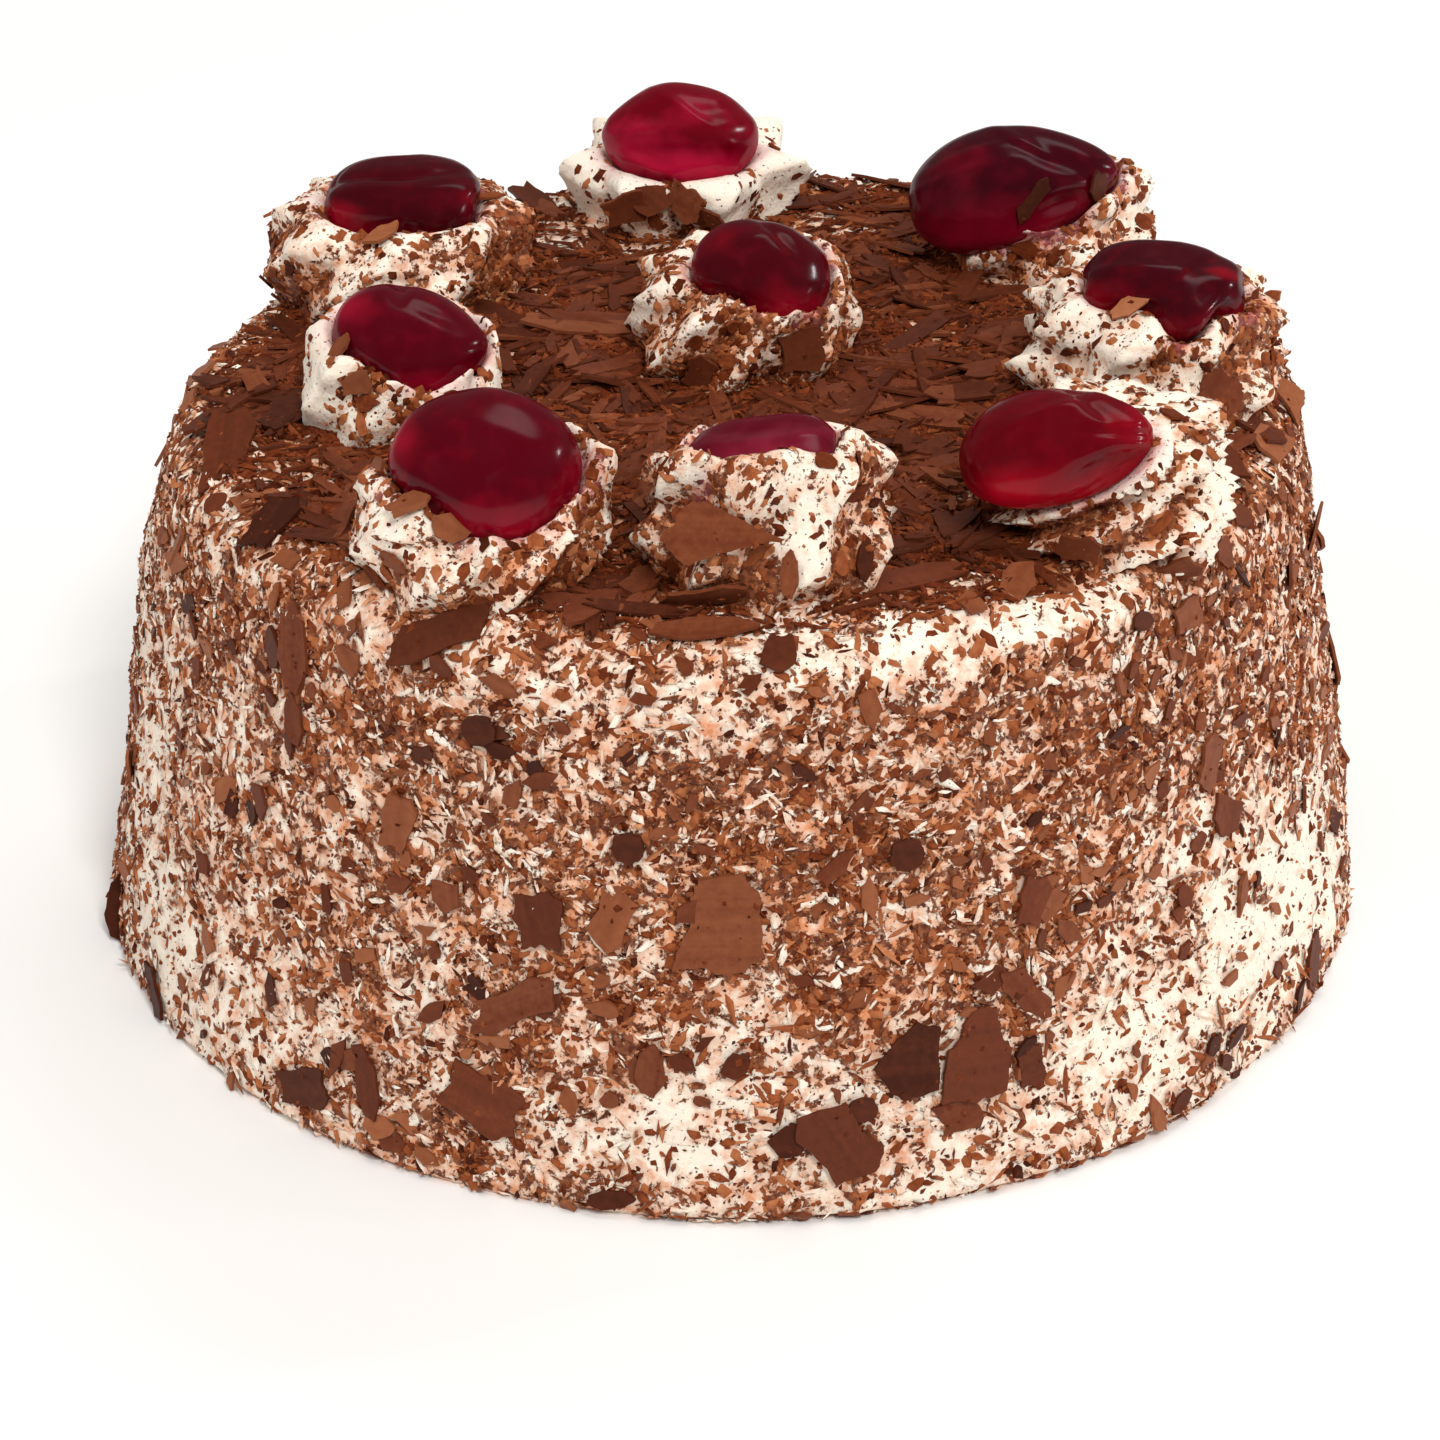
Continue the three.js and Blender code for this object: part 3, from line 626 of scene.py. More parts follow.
# Two coils of cream from a star tip: a spun outline whose ridges wind round it.
def makeRosette(number, topping):
    _, _, radius, height = topping["rosette"]
    outline = np.array(topping["profile"])
    steps = np.concatenate([[0], np.cumsum(np.hypot(*np.diff(outline, axis=0).T))])
    along = np.linspace(0, steps[-1], rosetteForm["rows"])
    radii, heights = (np.interp(along, steps, column) for column in outline.T)
    mesh = spunMesh("rosette", zip(radius * radii, height * heights), rosetteForm["around"])

    points = meshPoints(mesh)
    random = np.random.default_rng(60 + number)
    angle = bearingOf(points)
    level = points[:, 2] / height
    place, groove = grooveAt(topping, angle - rosetteTurn(topping, level), level)
    depth = (topping["ridge"] * random.uniform(0.7, 1.25, topping["ridges"]))[place % topping["ridges"]]
    valley = groove ** rosetteForm["ridgeSharpness"]
    edge, tall = rosetteForm["upperEdge"]
    upper = np.exp(-((level - edge) / tall) ** 2)
    points[:, :2] = (points[:, :2].T * (1 - depth * valley + 0.05 * upper * (1 - valley))).T
    points[:, 2] += height * topping["tips"] * upper * (1 - valley) ** 1.5
    peaks = [(bearing, 0, wide, 1, rise) for bearing, rise, wide in topping["peaks"]]
    points[:, 2] = addHumps(points[:, 2], np.degrees(angle), 0, peaks, upper)
    points[:, 2] -= topping["lean"] * np.clip(points[:, 1] / radius + 0.2, 0, 1.2) * np.clip(level, 0, 1)
    foot = toppingFoot(topping)
    points = points + foot
    away = unit(points - foot - np.array([0, 0, 0.2 * height]))
    for size, far, seed in rosetteForm["lumps"]:
        points += (away.T * far * topping["lumpy"] * lumps(points, size, seed)).T

    # the cherry's weight presses a socket into the cream
    snug = np.array(topping["half"]) + rosetteForm["socketGap"]
    local = fromCherry(topping, points, snug)
    swell = cherrySwell(topping, unit(local))[:, None]
    local = local / swell
    fromStem = local[:, 0] ** 2 + local[:, 1] ** 2
    around = topping["rim"] * np.exp(-((np.sqrt(fromStem) - 1.12) / 0.2) ** 2) * (local[:, 2] > -0.9)
    points[:, 2] += around * (0.9 + 0.25 * lumps(points, 4, 72))
    floorZ = -np.sqrt(np.clip(1 - fromStem, 0, 1))
    pressed = (fromStem < 1) & (local[:, 2] > floorZ)
    local[pressed, 2] = floorZ[pressed]
    moved = local * swell * snug @ cherryTurn(topping).T + cherryCentre(topping)
    points[pressed] = moved[pressed]
    reach = np.linalg.norm(local, axis=1)
    setLayer(mesh, "stain", np.clip(1.26 - reach + 0.12 * lumps(points, 2.5, 70), 0, 0.3) * 2.0)
    setLayer(mesh, "cover", rosetteCover(topping, points))
    placePoints(mesh, points)
    form = bmesh.new()
    form.from_mesh(mesh)
    form.verts.ensure_lookup_table()
    lip = [form.verts[int(index)] for index in np.flatnonzero(reach < rosetteForm["lipReach"])]
    for _ in range(rosetteForm["lipSmoothing"]):
        bmesh.ops.smooth_vert(form, verts=lip, factor=0.5, use_axis_x=True, use_axis_y=True,
                              use_axis_z=True)
    form.to_mesh(mesh)
    form.free()
    return mesh


pipedCream = creamFinish("pipedCream", 1.3, 0.34)
rosettes, cherries = [], []
for number, topping in enumerate(toppings, 1):
    rosettes.append(addPiece(f"piped_rosette_{number}", makeRosette(number, topping), pipedCream,
                             f"cream_rosette_{number}", smooth=True))
    cherries.append(addPiece(f"shiny_cherry_{number}", makeCherry(topping), cherryFinish(number, topping),
                             f"glazed_cherry_{number}", smooth=True))
print("rosettes and cherries", len(rosettes + cherries))


# chocolate shavings

fineTones = ((0.0, (63, 24, 10)), (0.3, (107, 47, 22)), (0.6, (147, 80, 45)), (1.0, (184, 117, 76)))
broadTones = ((0.0, (60, 26, 15)), (0.3, (100, 48, 28)), (0.6, (140, 81, 51)), (1.0, (178, 117, 82)))


def chocolateFinish(name, tones, streakSize, streakStrength, mottled, relief, roughness):
    material, tree, shader = blankMaterial(name)
    across = calc(tree, "MULTIPLY", attribute(tree, "across"), 1 / streakSize)
    streaks = wire(tree, "TexNoise", {"W": across, "Scale": 1.0, "Detail": 3.0},
                   noise_dimensions="1D").outputs["Fac"]
    mottle = grain(tree, 0.9, 3, 0.6)
    tone = attribute(tree, "tone")
    for noise, strength in ((streaks, streakStrength), (mottle, mottled)):
        tone = calc(tree, "ADD", tone, rescale(tree, noise, 0.3, 0.7, -strength, strength))
    ramp = wire(tree, "ValToRGB", {"Fac": tone})
    stops = ramp.color_ramp.elements
    for position, _ in tones[1:-1]:
        stops.new(position)
    for stop, (position, colour) in zip(stops, tones):
        stop.position, stop.color = position, paint(*colour)
    worn = wire(tree, "Bump", {"Height": calc(tree, "ADD", streaks, mottle), "Distance": relief * mm,
                               "Strength": 0.6})
    feed(tree, shader, {"Base Color": ramp.outputs["Color"], "Normal": worn.outputs["Normal"],
                        "Roughness": roughness, "Specular IOR Level": 0.12})
    return material


# Unit chips, 1 long, 1 wide and 1 thick, as points and triangles.
def unitChip(form):
    bmesh.ops.remove_doubles(form, verts=form.verts, dist=1e-4)
    bmesh.ops.triangulate(form, faces=form.faces)
    bmesh.ops.recalc_face_normals(form, faces=form.faces)
    form.verts.index_update()
    points = np.array([corner.co for corner in form.verts])
    faces = np.array([[corner.index for corner in face.verts] for face in form.faces])
    form.free()
    return points, faces


def thicken(form):
    raised = bmesh.ops.extrude_face_region(form, geom=form.faces[:])["geom"]
    corners = [part for part in raised if isinstance(part, bmesh.types.BMVert)]
    bmesh.ops.translate(form, verts=corners, vec=(0, 0, 1))
    return unitChip(form)


def crumbChip(random, corners):
    form = bmesh.new()
    bmesh.ops.create_cone(form, cap_ends=True, segments=corners, radius1=0.5, radius2=0, depth=1)
    lean = random.uniform(-0.16, 0.16, 2)
    for corner in form.verts:
        stray = random.uniform(-0.11, 0.11, 2) + (lean if corner.co.z > 0 else 0)
        corner.co += Vector((*stray, 0.25))
    return unitChip(form)


# A flake with a broken edge, from its outline.
def flakeChip(random, outline, cuts, ragged, bendable=True):
    form = bmesh.new()
    form.faces.new([form.verts.new((x, y, 0)) for x, y in outline])
    bmesh.ops.subdivide_edges(form, edges=form.edges, cuts=cuts)
    for corner in form.verts:
        corner.co += Vector((*random.uniform(-ragged, ragged, 2), 0))
    bmesh.ops.poke(form, faces=form.faces)
    if bendable:
        bmesh.ops.subdivide_edges(form, edges=form.edges, cuts=1, use_grid_fill=True)
    return thicken(form)


def anyFlake(random, corners, cuts, ragged, bendable=True):
    number = int(random.integers(*corners))
    angles = (np.arange(number) + random.uniform(-0.32, 0.32, number)) * 2 * math.pi / number
    radii = random.uniform(0.34, 0.6, number)
    return flakeChip(random, zip(radii * np.cos(angles), radii * np.sin(angles)), cuts, ragged, bendable)


def curlChip(random):
    form = bmesh.new()
    bmesh.ops.create_grid(form, x_segments=7, y_segments=3, size=0.5)
    narrow = random.uniform(0.5, 0.95, 2)
    phase = random.uniform(0, 6, 2)
    for corner in form.verts:
        x, y, _ = corner.co
        width = np.interp(x, [-0.5, 0, 0.5], [narrow[0], 1, narrow[1]]) + 0.07 * math.sin(11 * x + phase[0])
        ragged = 0.09 * math.sin(9 * y + phase[1]) * abs(2 * x) ** 3
        corner.co = (x + ragged + random.uniform(-0.02, 0.02), y * width, random.uniform(-0.12, 0.12))
    return thicken(form)


def manyChips(count, seed, make, *form):
    random = np.random.default_rng(seed)
    return [make(random, *form) for _ in range(count)]


# Random places on a piece's skin, closer together where weigh is larger.
def spotsOn(piece, count, weigh, random):
    mesh = piece.data
    mesh.calc_loop_triangles()
    corners = np.empty(3 * len(mesh.loop_triangles), np.int32)
    mesh.loop_triangles.foreach_get("vertices", corners)
    corners = corners.reshape(-1, 3)
    corners = corners[np.lexsort(corners.T)]  # spun faces come in another order each run
    trio = (meshPoints(mesh) / mm)[corners]
    facing = np.cross(trio[:, 1] - trio[:, 0], trio[:, 2] - trio[:, 0])
    area = np.linalg.norm(facing, axis=1)
    weight = area * weigh(trio.mean(1))
    picked = random.choice(len(area), count, p=weight / weight.sum())
    cuts = np.sort(random.random((count, 2)), axis=1)
    share = np.stack([cuts[:, 0], cuts[:, 1] - cuts[:, 0], 1 - cuts[:, 1]], -1)
    return np.einsum("nc,ncx->nx", share, trio[picked]), unit(facing)[picked]


# How many chips a piece has, and their ranges: length, width as a share of it, thickness, bend along and
# curl across as shares of length and width, and turn in the skin. Then how far they tip and roll either
# way, their range of tones, how much darker some are, how many thicknesses they stand proud of the skin,
# and how rare long ones are.
shavingKeys = ("count", "length", "slim", "thick", "bend", "curl", "turn", "tip", "roll", "tone", "darker",
               "proud", "rare")
anyTurn = (0, 360)
shavingKinds = {name: dict(zip(shavingKeys, values)) for name, values in {
    "fine_shavings": (12500, (0.9, 3), (0.3, 0.7), (0.35, 0.75), (0, 0.06), (0, 0.05), anyTurn, 16, 22,
        (0.24, 0.86), -0.35, 0, 1.6),
    "chocolate_specks": (17000, (0.5, 1.4), (0.45, 0.9), (0.3, 0.6), (0, 0), (0, 0), anyTurn, 20, 20,
        (0.15, 0.85), -0.2, 0, 1.6),
    "splinters": (3600, (1.8, 6), (0.1, 0.24), (0.3, 0.6), (0, 0.08), (0, 0), anyTurn, 14, 30, (0.3, 0.95),
        -0.35, 0.1, 2.2),
    "middling_shavings": (620, (2.4, 5.5), (0.35, 0.75), (0.3, 0.5), (-0.02, 0.06), (0, 0.06), anyTurn, 9,
        11, (0.2, 0.66), -0.3, 0.2, 2.4),
    "cream_smears": (11000, (0.8, 3.4), (0.14, 0.42), (0.2, 0.36), (0, 0.04), (0, 0.04), anyTurn, 10, 16,
        (0.3, 1), 0, 1, 1.6),
    "broad_shavings": (60, (5, 10), (0.4, 0.8), (0.35, 0.5), (-0.02, 0.04), (-0.02, 0.04), anyTurn, 5, 5,
        (0.3, 0.6), -0.2, 0.8, 1.6),
    # Crown tones run low: partly darker chocolate on the top, partly painted shade where the rosettes shade
    # it.
    "crown_curls": (800, (3, 13), (0.16, 0.36), (0.25, 0.5), (-0.03, 0.06), (0.05, 0.35), (-50, 50), 4, 14,
        (0.04, 0.4), 0, 0.6, 2.2),
    "crown_shavings": (15000, (1, 4.5), (0.12, 0.34), (0.25, 0.5), (0, 0.04), (0, 0.04), (-42, 42), 8, 16,
        (0, 0.46), 0, 0.9, 1.6),
    "rosette_flecks": (11500, (0.5, 2.5), (0.35, 0.8), (0.25, 0.45), (0, 0.04), (0, 0.04), anyTurn, 12, 14,
        (0.15, 0.9), -0.3, 0, 1.6),
    "rosette_shavings": (300, (2.2, 4.6), (0.35, 0.7), (0.25, 0.4), (0, 0.06), (0, 0.08), anyTurn, 6, 8,
        (0.15, 0.62), -0.2, 0.2, 2.2),
    "flake_dust": (400, (0.5, 1.8), (0.4, 0.9), (0.15, 0.3), (0, 0), (0, 0), anyTurn, 8, 8, (0.05, 0.45), 0,
        0, 1.6),
}.items()}
strewing = {
    "darkShare": 0.18,  # of the chips of a kind that has darker ones
    "streakShift": 37,  # so that the streaks of any two chips differ
    "clumpGrain": 2.8,
    "fullest": 0.93,  # a cover of 1 would take endless chips
    "underRosettes": 63,  # higher up, a rosette hides the skin of the cake
    "onRosettes": 67,  # lower down, nothing is strewn on a rosette
}


# The sizes and turns of a number of chips, drawn from a piece's ranges.
def drawChips(rule, count, random):
    low, high = rule["length"]
    drawn = {"length": low + (high - low) * random.random(count) ** rule["rare"]}
    dark = rule["darker"] * (random.random(count) < strewing["darkShare"])
    for key in ("slim", "thick", "bend", "curl", "turn", "tip", "roll", "tone"):
        span = (-rule[key], rule[key]) if key in ("tip", "roll") else rule[key]
        drawn[key] = random.uniform(*span, count)
    drawn["width"] = drawn["length"] * drawn["slim"]
    drawn["tone"] = np.clip(drawn["tone"] + dark, 0, 1)
    return drawn


# Swings one axis towards another by an angle, and the other with it.
def swing(axis, other, angle):
    return axis * np.cos(angle) + other * np.sin(angle), other * np.cos(angle) - axis * np.sin(angle)


# Joins chips into one mesh. Each lies on a spot, turned in the skin, tipped along and rolled across.
def joinChips(name, chips, spots, out, drawn, proud, pick, material, level=None, slot="chocolate_shavings"):
    if level is None:
        level = np.cross([0, 0, 1], out)
        level[np.linalg.norm(level, axis=1) < 0.05] = [1, 0, 0]
    level = unit(level - out * np.sum(level * out, axis=1, keepdims=True))
    turn, tip, roll = (np.radians(drawn[key])[:, None] for key in ("turn", "tip", "roll"))
    along, _ = swing(level, np.cross(out, level), turn)
    across = np.cross(out, along)
    along, up = swing(along, out, tip)
    axes = np.stack([along, *swing(across, up, roll)], 1)
    spots = spots + out * (proud * drawn["thick"])[:, None]
    points, faces, tones, acrosses, base = [], [], [], [], 0
    for kind, (shape, triangles) in enumerate(chips):
        mine = pick == kind
        x, y, z = shape.T
        length, width, thick, bend, curl = (drawn[key][mine, None]
                                            for key in ("length", "width", "thick", "bend", "curl"))
        height = z * thick + bend * length * x ** 2 + curl * width * y ** 2
        local = np.stack([x * length, y * width, height], -1)
        placed = spots[mine, None] + np.einsum("nmk,nkx->nmx", local, axes[mine])
        points.append(placed.reshape(-1, 3))
        starts = base + len(shape) * np.arange(mine.sum())
        faces.append((triangles + starts[:, None, None]).reshape(-1, 3))
        base += len(shape) * mine.sum()
        tones.append(np.repeat(drawn["tone"][mine], len(shape)))
        acrosses.append((y * width + strewing["streakShift"] * drawn["tone"][mine, None]).ravel())
    points = np.concatenate(points)
    points[:, 2] = np.maximum(points[:, 2], 0)
    mesh = bpy.data.meshes.new(name)
    mesh.from_pydata((points * mm).tolist(), [], np.concatenate(faces).tolist())
    setLayer(mesh, "tone", np.concatenate(tones))
    setLayer(mesh, "cover", np.concatenate(tones))  # what chips of cream read
    setLayer(mesh, "across", np.concatenate(acrosses))
    piece = addPiece(name, mesh, material)
    print(name, len(spots), "chips", len(mesh.polygons), "triangles")
    return piece


def underRosette(points, margin):
    hidden = np.zeros(len(points), bool)
    for topping in toppings:
        foot = toppingFoot(topping)
        near = np.hypot(points[:, 0] - foot[0], points[:, 1] - foot[1]) < topping["rosette"][2] * margin
        hidden |= near & (points[:, 2] > strewing["underRosettes"])
    return hidden


# Weighs a place: chips lie where the cover is dense, in clumps, and leave the peaks of the cream showing.
def denseWhere(clump, seed, low=-1, high=200, margin=0.8, shy=0.0):
    def weigh(points):
        _, climb = placeOn(points)
        weight = -np.log(1 - strewing["fullest"] * coverAt(points))
        weight = weight * np.exp(clump * lumps(points, strewing["clumpGrain"], seed))
        for size, far, lumpSeed in cakeForm["knifeLumps"][1:]:
            weight = weight * np.exp(-shy * far * lumps(points, size, lumpSeed))
        shown = (climb > low) & (climb < high) & (points[:, 2] > 0.4) & ~underRosette(points, margin)
        return weight * shown
    return weigh


smallChocolate = chocolateFinish("fineShavings", fineTones, 0.6, 0.03, 0.1, 0.12, 0.6)
broadChocolate = chocolateFinish("broadShavings", broadTones, 2.2, 0.05, 0.05, 0.025, 0.5)
crumbs5 = manyChips(6, 80, crumbChip, 5)
crumbs4 = manyChips(5, 81, crumbChip, 4)
shards = manyChips(10, 82, anyFlake, (5, 7), 1, 0.05, False)
flakes = manyChips(12, 83, anyFlake, (5, 9), 2, 0.022)
curls = manyChips(8, 84, curlChip)


# Draws a piece's chips and lays them on their spots.
def layDrawn(name, chips, spots, out, material, random, **others):
    rule = shavingKinds[name]
    drawn = drawChips(rule, len(spots), random)
    pick = random.integers(len(chips), size=len(spots))
    return joinChips(name, chips, spots, out, drawn, rule["proud"], pick, material, **others)


def scatter(name, chips, piece, weigh, material, seed, **others):
    random = np.random.default_rng(seed)
    spots, out = spotsOn(piece, shavingKinds[name]["count"], weigh, random)
    return layDrawn(name, chips, spots, out, material, random, **others)


sideOnly = {"high": rimClimb}
scatter("fine_shavings", crumbs5, coat, denseWhere(1.1, 91, shy=2.2, **sideOnly), smallChocolate, 101)
scatter("chocolate_specks", crumbs4, coat, denseWhere(0.7, 91, shy=1.4, **sideOnly), smallChocolate, 102)
scatter("splinters", crumbs4, coat, denseWhere(0.7, 93, shy=1, **sideOnly), smallChocolate, 103)
scatter("middling_shavings", shards, coat, denseWhere(0.4, 94, shy=1, **sideOnly), broadChocolate, 104)
scatter("broad_shavings", flakes, coat, denseWhere(0, 95, 5, **sideOnly), broadChocolate, 105)
scatter("cream_smears", crumbs5, coat, denseWhere(0.9, 98, high=rimClimb + 3), coatCream, 112,
        slot="shaved_frosting")
scatter("crown_curls", curls, coat, denseWhere(0, 96, rimClimb - 1, margin=1), broadChocolate, 106)
scatter("crown_shavings", crumbs5, coat, denseWhere(0.4, 97, rimClimb - 3), smallChocolate, 107)


# Shavings strewn over all the rosettes, each by its own cover and clear of its cherry.
def strewRosettes(name, chips, seed):
    random = np.random.default_rng(seed)
    shares = np.array([topping["cover"] + 0.12 for topping in toppings])
    counts = np.ceil(shavingKinds[name]["count"] * shares / shares.sum()).astype(int)
    spots = []
    for topping, rosette, count in zip(toppings, rosettes, counts):
        def weigh(points):
            local = fromCherry(topping, points, np.array(topping["half"]) * 1.04)
            clear = np.linalg.norm(local, axis=1) > cherrySwell(topping, unit(local))
            return clear * (points[:, 2] > strewing["onRosettes"]) * rosetteCover(topping, points) ** 1.3

        spots.append(spotsOn(rosette, count, weigh, random))
    layDrawn(name, chips, *(np.concatenate(part) for part in zip(*spots)), smallChocolate, random)


strewRosettes("rosette_flecks", crumbs5, 108)
strewRosettes("rosette_shavings", shards, 109)

# Broad flakes that stand out by themselves. Their outlines are in hundredths of their length and width.
flakeOutlines = {
    "slab": ((-50, -42), (-16, -40), (14, -50), (32, -42), (50, -30), (46, 6), (50, 24), (30, 50),
        (-10, 46), (-20, 38), (-28, 20), (-26, 0), (-38, -20)),
    "house": ((-50, -46), (2, -50), (46, -40), (50, 2), (36, 12), (20, 44), (-2, 50), (-20, 40), (-34, 14),
        (-50, 6)),
    "rhomb": ((-50, -6), (-22, 22), (14, 50), (50, 42), (46, -36), (-4, -50), (-26, -36)),
    "shard": ((-50, -30), (-28, -50), (10, -36), (36, -42), (50, 20), (30, 50), (2, 34), (-30, 40)),
    "block": ((-50, -30), (-20, -34), (28, -50), (50, -24), (42, 6), (46, 40), (6, 50), (-16, 40),
        (-50, 44), (-42, 8)),
    "kite": ((-50, -5), (-15, 36), (6, 50), (24, 34), (50, 30), (42, -10), (22, -42), (-20, -50)),
    "wedge": ((-50, -6), (-38, 16), (-25, 50), (-6, 42), (24, 12), (50, -6), (26, -14), (-2, -30),
        (-25, -50), (-42, -30)),
    "sliver": ((-50, -20), (-20, -50), (25, -40), (50, 0), (30, 40), (-15, 50), (-45, 20)),
    "disc": ((50, 0), (36, 38), (0, 50), (-40, 34), (-50, -6), (-30, -42), (6, -50), (40, -30)),
}
# Where the front view sees them, across and down, then outline, length, width, slant and tone; and where
# they aren't the usual ones, how far each stands off and how much it turns to the front.
usualStance = (0.2, 0)
# The darkest of them, with tones near 0, such as those at (274, 526), (282, 420), (863, 560) and (1032,
# 200), are dark flakes that also stand in for shade in hollows and beside the rosettes and cherries: partly
# painted shade.
placedFlakes = (
    (716, 924, "slab", 10.6, 12.6, 2, 0.44), (514, 1004, "shard", 13.6, 5, 27, 0.36),
    (542, 918, "block", 7, 6.2, 100, 0.18), (308, 1087, "block", 8.6, 5.4, 16, 0.1),
    (371, 1082, "sliver", 9, 3.4, 96, 0.22, 0.3), (484, 1100, "block", 10, 8, -22, 0.3),
    (651, 1068, "sliver", 7, 3.6, 84, 0.36), (906, 1060, "rhomb", 7.8, 9.4, 0, 0.04),
    (975, 1050, "house", 8.4, 12, -4, 0.26, 0.5), (838, 1140, "shard", 12, 8, -58, 0.22),
    (790, 1139, "kite", 5, 4.2, 0, 0.04), (862, 1108, "disc", 3.6, 3.2, 0, 0.1),
    (958, 1112, "block", 5.4, 5.6, 24, 0.34, 0.1), (1024, 992, "shard", 9.6, 4, -56, 0.34),
    (1029, 1066, "block", 3.6, 6, 10, 0.2, 0.1), (905, 853, "disc", 4.2, 4, 0, 0.06, 0.4),
    (630, 846, "disc", 4, 3.8, 0, 0.06, 0.4), (481, 728, "disc", 4.2, 3.8, 10, 0.04, 0.4),
    (297, 645, "sliver", 11, 4.8, 88, 0.34, 0.3), (297, 718, "sliver", 6.4, 2.8, 94, 0.3),
    (440, 634, "shard", 13.4, 5.4, 14, 0.14), (706, 632, "sliver", 12.4, 3.4, -2, 0.36, 0.3),
    (778, 655, "kite", 5, 4.6, 30, 0.14), (735, 1064, "kite", 4, 3, 20, 0.12),
    (612, 918, "shard", 8, 5, 62, 0.5, 0.1), (400, 822, "block", 7.4, 4.6, 78, 0.5, 0.1),
    (1206, 762, "shard", 7.4, 4.4, 70, 0.42), (525, 1202, "sliver", 8, 3, -4, 0.14),
    (230, 456, "block", 13, 6.4, 86, 0.2, 0.8, 0.35), (274, 526, "block", 8, 6, 60, 0, 0.3),
    (282, 420, "shard", 10, 5, 70, 0.04, 0.4), (262, 345, "slab", 9, 10, 0, 0.32, 0.3),
    (1140, 621, "sliver", 3.2, 2.4, 0, 0.1), (1032, 900, "block", 6, 4.4, 75, 0.3, 0.1),
    (1310, 960, "sliver", 8, 4, 80, 0.2, 0.1), (120, 905, "sliver", 9, 3.4, 84, 0, 0.6, 0.3),
    (590, 612, "shard", 9, 4, 40, 0.3, 0.3), (612, 1198, "sliver", 6, 2.4, 4, 0.06),
    (158, 990, "shard", 8, 3, -62, 0), (1210, 1044, "kite", 3.4, 2.4, 20, 0.02),
    (1232, 1034, "sliver", 4.2, 1.8, 24, 0.04), (1222, 1062, "block", 2.8, 2, -10, 0.1),
    (1178, 1100, "sliver", 4, 2, 30, 0.14), (1185, 615, "block", 5, 4, 20, 0.44, 0.1),
    (980, 545, "sliver", 7, 3, -20, 0.16),
    # on and against the rosettes
    (725, 534, "wedge", 14, 7.2, -2, 0.36, 1.6, 0.75), (792, 575, "sliver", 5.6, 2.2, 86, 0.4, 0.5),
    (863, 560, "sliver", 5, 2, 84, 0.02, 0.3), (700, 590, "shard", 11, 4, 14, 0.34, 0.4),
    (640, 585, "shard", 7, 4, 60, 0.34), (410, 508, "block", 4.8, 3.6, 30, 0.5, 0.3),
    (448, 527, "kite", 5, 3.6, -30, 0.5, 0.3), (396, 560, "sliver", 4, 2, -10, 0.4),
    (388, 470, "kite", 4, 3, 0, 0.46, 0.3), (345, 350, "kite", 3.6, 2.6, 20, 0.4, 0.3),
    (358, 382, "block", 4, 3, 20, 0.42, 0.3), (383, 238, "kite", 5.4, 3, 24, 0.62, 0.4),
    (1132, 308, "sliver", 6.4, 2.2, 32, 0.72, 0.5), (1032, 200, "shard", 7, 2.2, 50, 0, -0.1),
    (1106, 194, "sliver", 5, 1.6, 20, 0.14, 0.1), (1096, 186, "kite", 3, 4.6, 10, 0.08, 0.1),
    (626, 206, "block", 6, 5, 20, 0.3, 0.5, 0.2), (650, 200, "kite", 5, 5, -40, 0.22, 0.6, 0.2),
    (686, 202, "block", 5.6, 4.6, -30, 0.34, 0.6, 0.2), (706, 214, "sliver", 6, 3, -12, 0.24, 0.4),
    (590, 268, "slab", 9, 8, 0, 0.12, 0.3), (585, 330, "sliver", 16, 6, -3, 0.42, 0.4),
    (800, 350, "block", 6, 6, 10, 0.24, 0.3), (700, 370, "shard", 6, 4, 70, 0.3),
    (930, 450, "slab", 10, 11, 0, 0.36, 0.3), (1288, 408, "wedge", 8, 4.4, -80, 0.6, 0.8, 0.3),
    (1255, 430, "shard", 8, 5, -40, 0.2), (1215, 400, "slab", 7, 6, 60, 0.3, 0.3),
    (1180, 560, "block", 5, 4, 40, 0.36), (1080, 545, "shard", 6, 4, 10, 0.3),
)


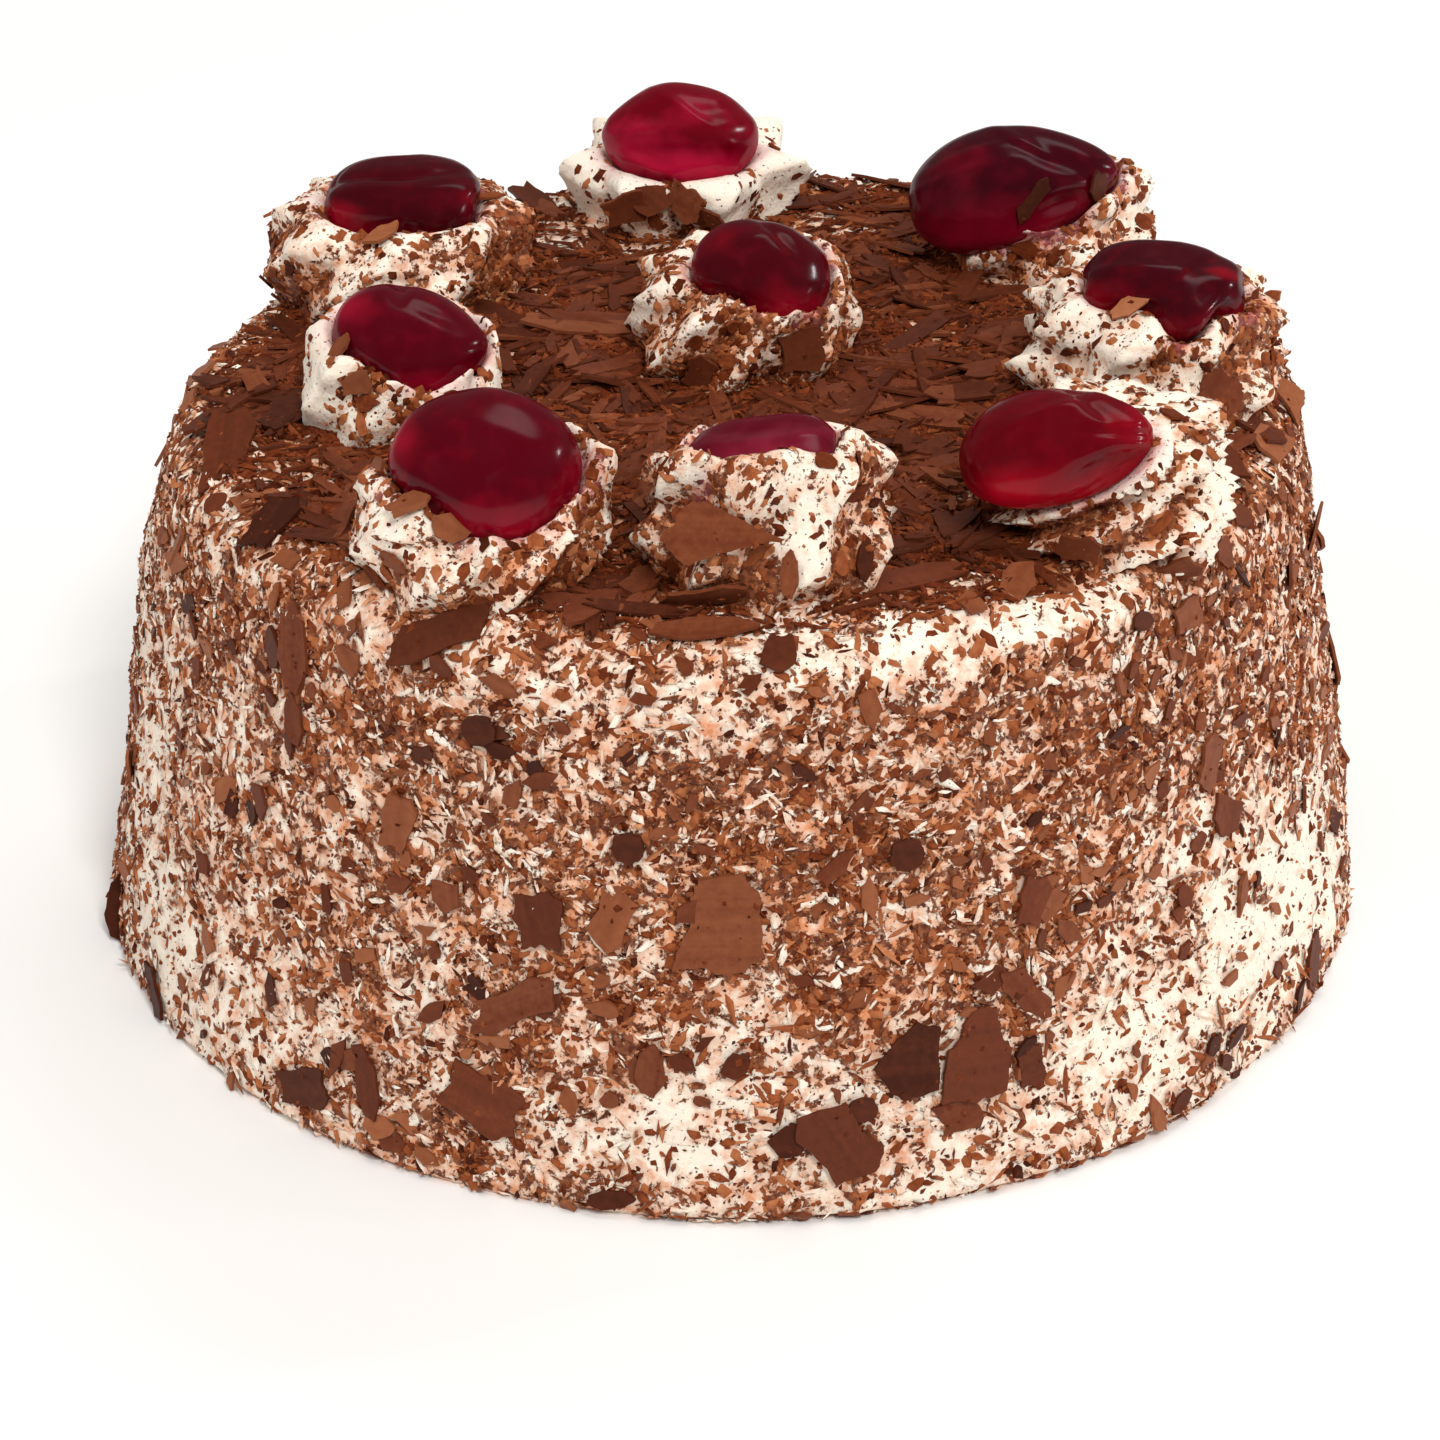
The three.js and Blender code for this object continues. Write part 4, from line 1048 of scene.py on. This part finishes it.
# Where the front view's line of sight through a place meets what carries a flake.
def seenSpot(across, down, carriers):
    centre = studio["view"] / 2
    deep = -studio["lens"] / studio["sensor"] * studio["view"]
    sight = np.array([across - centre, centre - down, deep]) @ frontAxes
    start = (np.array(studio["aim"]) + studio["distance"] * frontAxes[2]) * mm
    hits = [carrier.ray_cast(start.tolist(), unit(sight).tolist()) for carrier in carriers]
    spots = [np.array(hit[1]) for hit in hits if hit[0]]
    return min(spots, key=lambda spot: np.linalg.norm(spot - start)) / mm if spots else None


# The plane that a flake rests on, from the places round its middle.
def restingPlane(across, down, reach, carriers):
    middle = seenSpot(across, down, carriers)
    ends = [seenSpot(across + aside * reach, down + below * reach, carriers)
            for aside, below in ((1, 0), (-1, 0), (0, -1), (0, 1))]
    ends = [middle if end is None or np.linalg.norm(end - middle) > 6 else end for end in ends]
    out = unit(np.cross(ends[0] - ends[1], ends[2] - ends[3]))
    high = max(float((end - middle) @ out) for end in ends)
    return middle + out * min(max(high, 0) * 0.6, 1), out


def layFlakes():
    random = np.random.default_rng(110)
    carriers = [coat, *rosettes, *cherries]
    bpy.context.view_layer.update()
    rows = [row + usualStance[len(row) - 7:] for row in placedFlakes
            if seenSpot(row[0], row[1], carriers) is not None]
    planes = [restingPlane(row[0], row[1], row[4] * 3, carriers) for row in rows]
    spots, out = (np.array(part) for part in zip(*planes))
    length, width, slant, tone, off, facing = np.array([row[3:] for row in rows]).T
    out = unit(out * (1 - facing)[:, None] + frontAxes[2] * facing[:, None])
    drawn = {"length": length, "width": width, "turn": slant, "tone": tone,
             "thick": np.full(len(rows), 0.45)}
    for key, low, high in (("bend", -0.02, 0.05), ("curl", -0.02, 0.05), ("tip", -3, 3), ("roll", -3, 3)):
        drawn[key] = random.uniform(low, high, len(rows))
    draws = 3  # of each outline, with its edge broken in another way
    chips = [flakeChip(random, np.array(outline) / 100, 3, 0.022)
             for outline in flakeOutlines.values() for _ in range(draws)]
    names = list(flakeOutlines)
    pick = np.array([names.index(row[2]) * draws + index % draws for index, row in enumerate(rows)])
    return joinChips("broad_flakes", chips, spots + out * off[:, None], out, drawn, 0.2, pick,
                     broadChocolate, np.tile(frontAxes[0], (len(rows), 1)))


broadFlakes = layFlakes()
scatter("flake_dust", crumbs4, broadFlakes, lambda points: np.ones(len(points)), smallChocolate, 111)
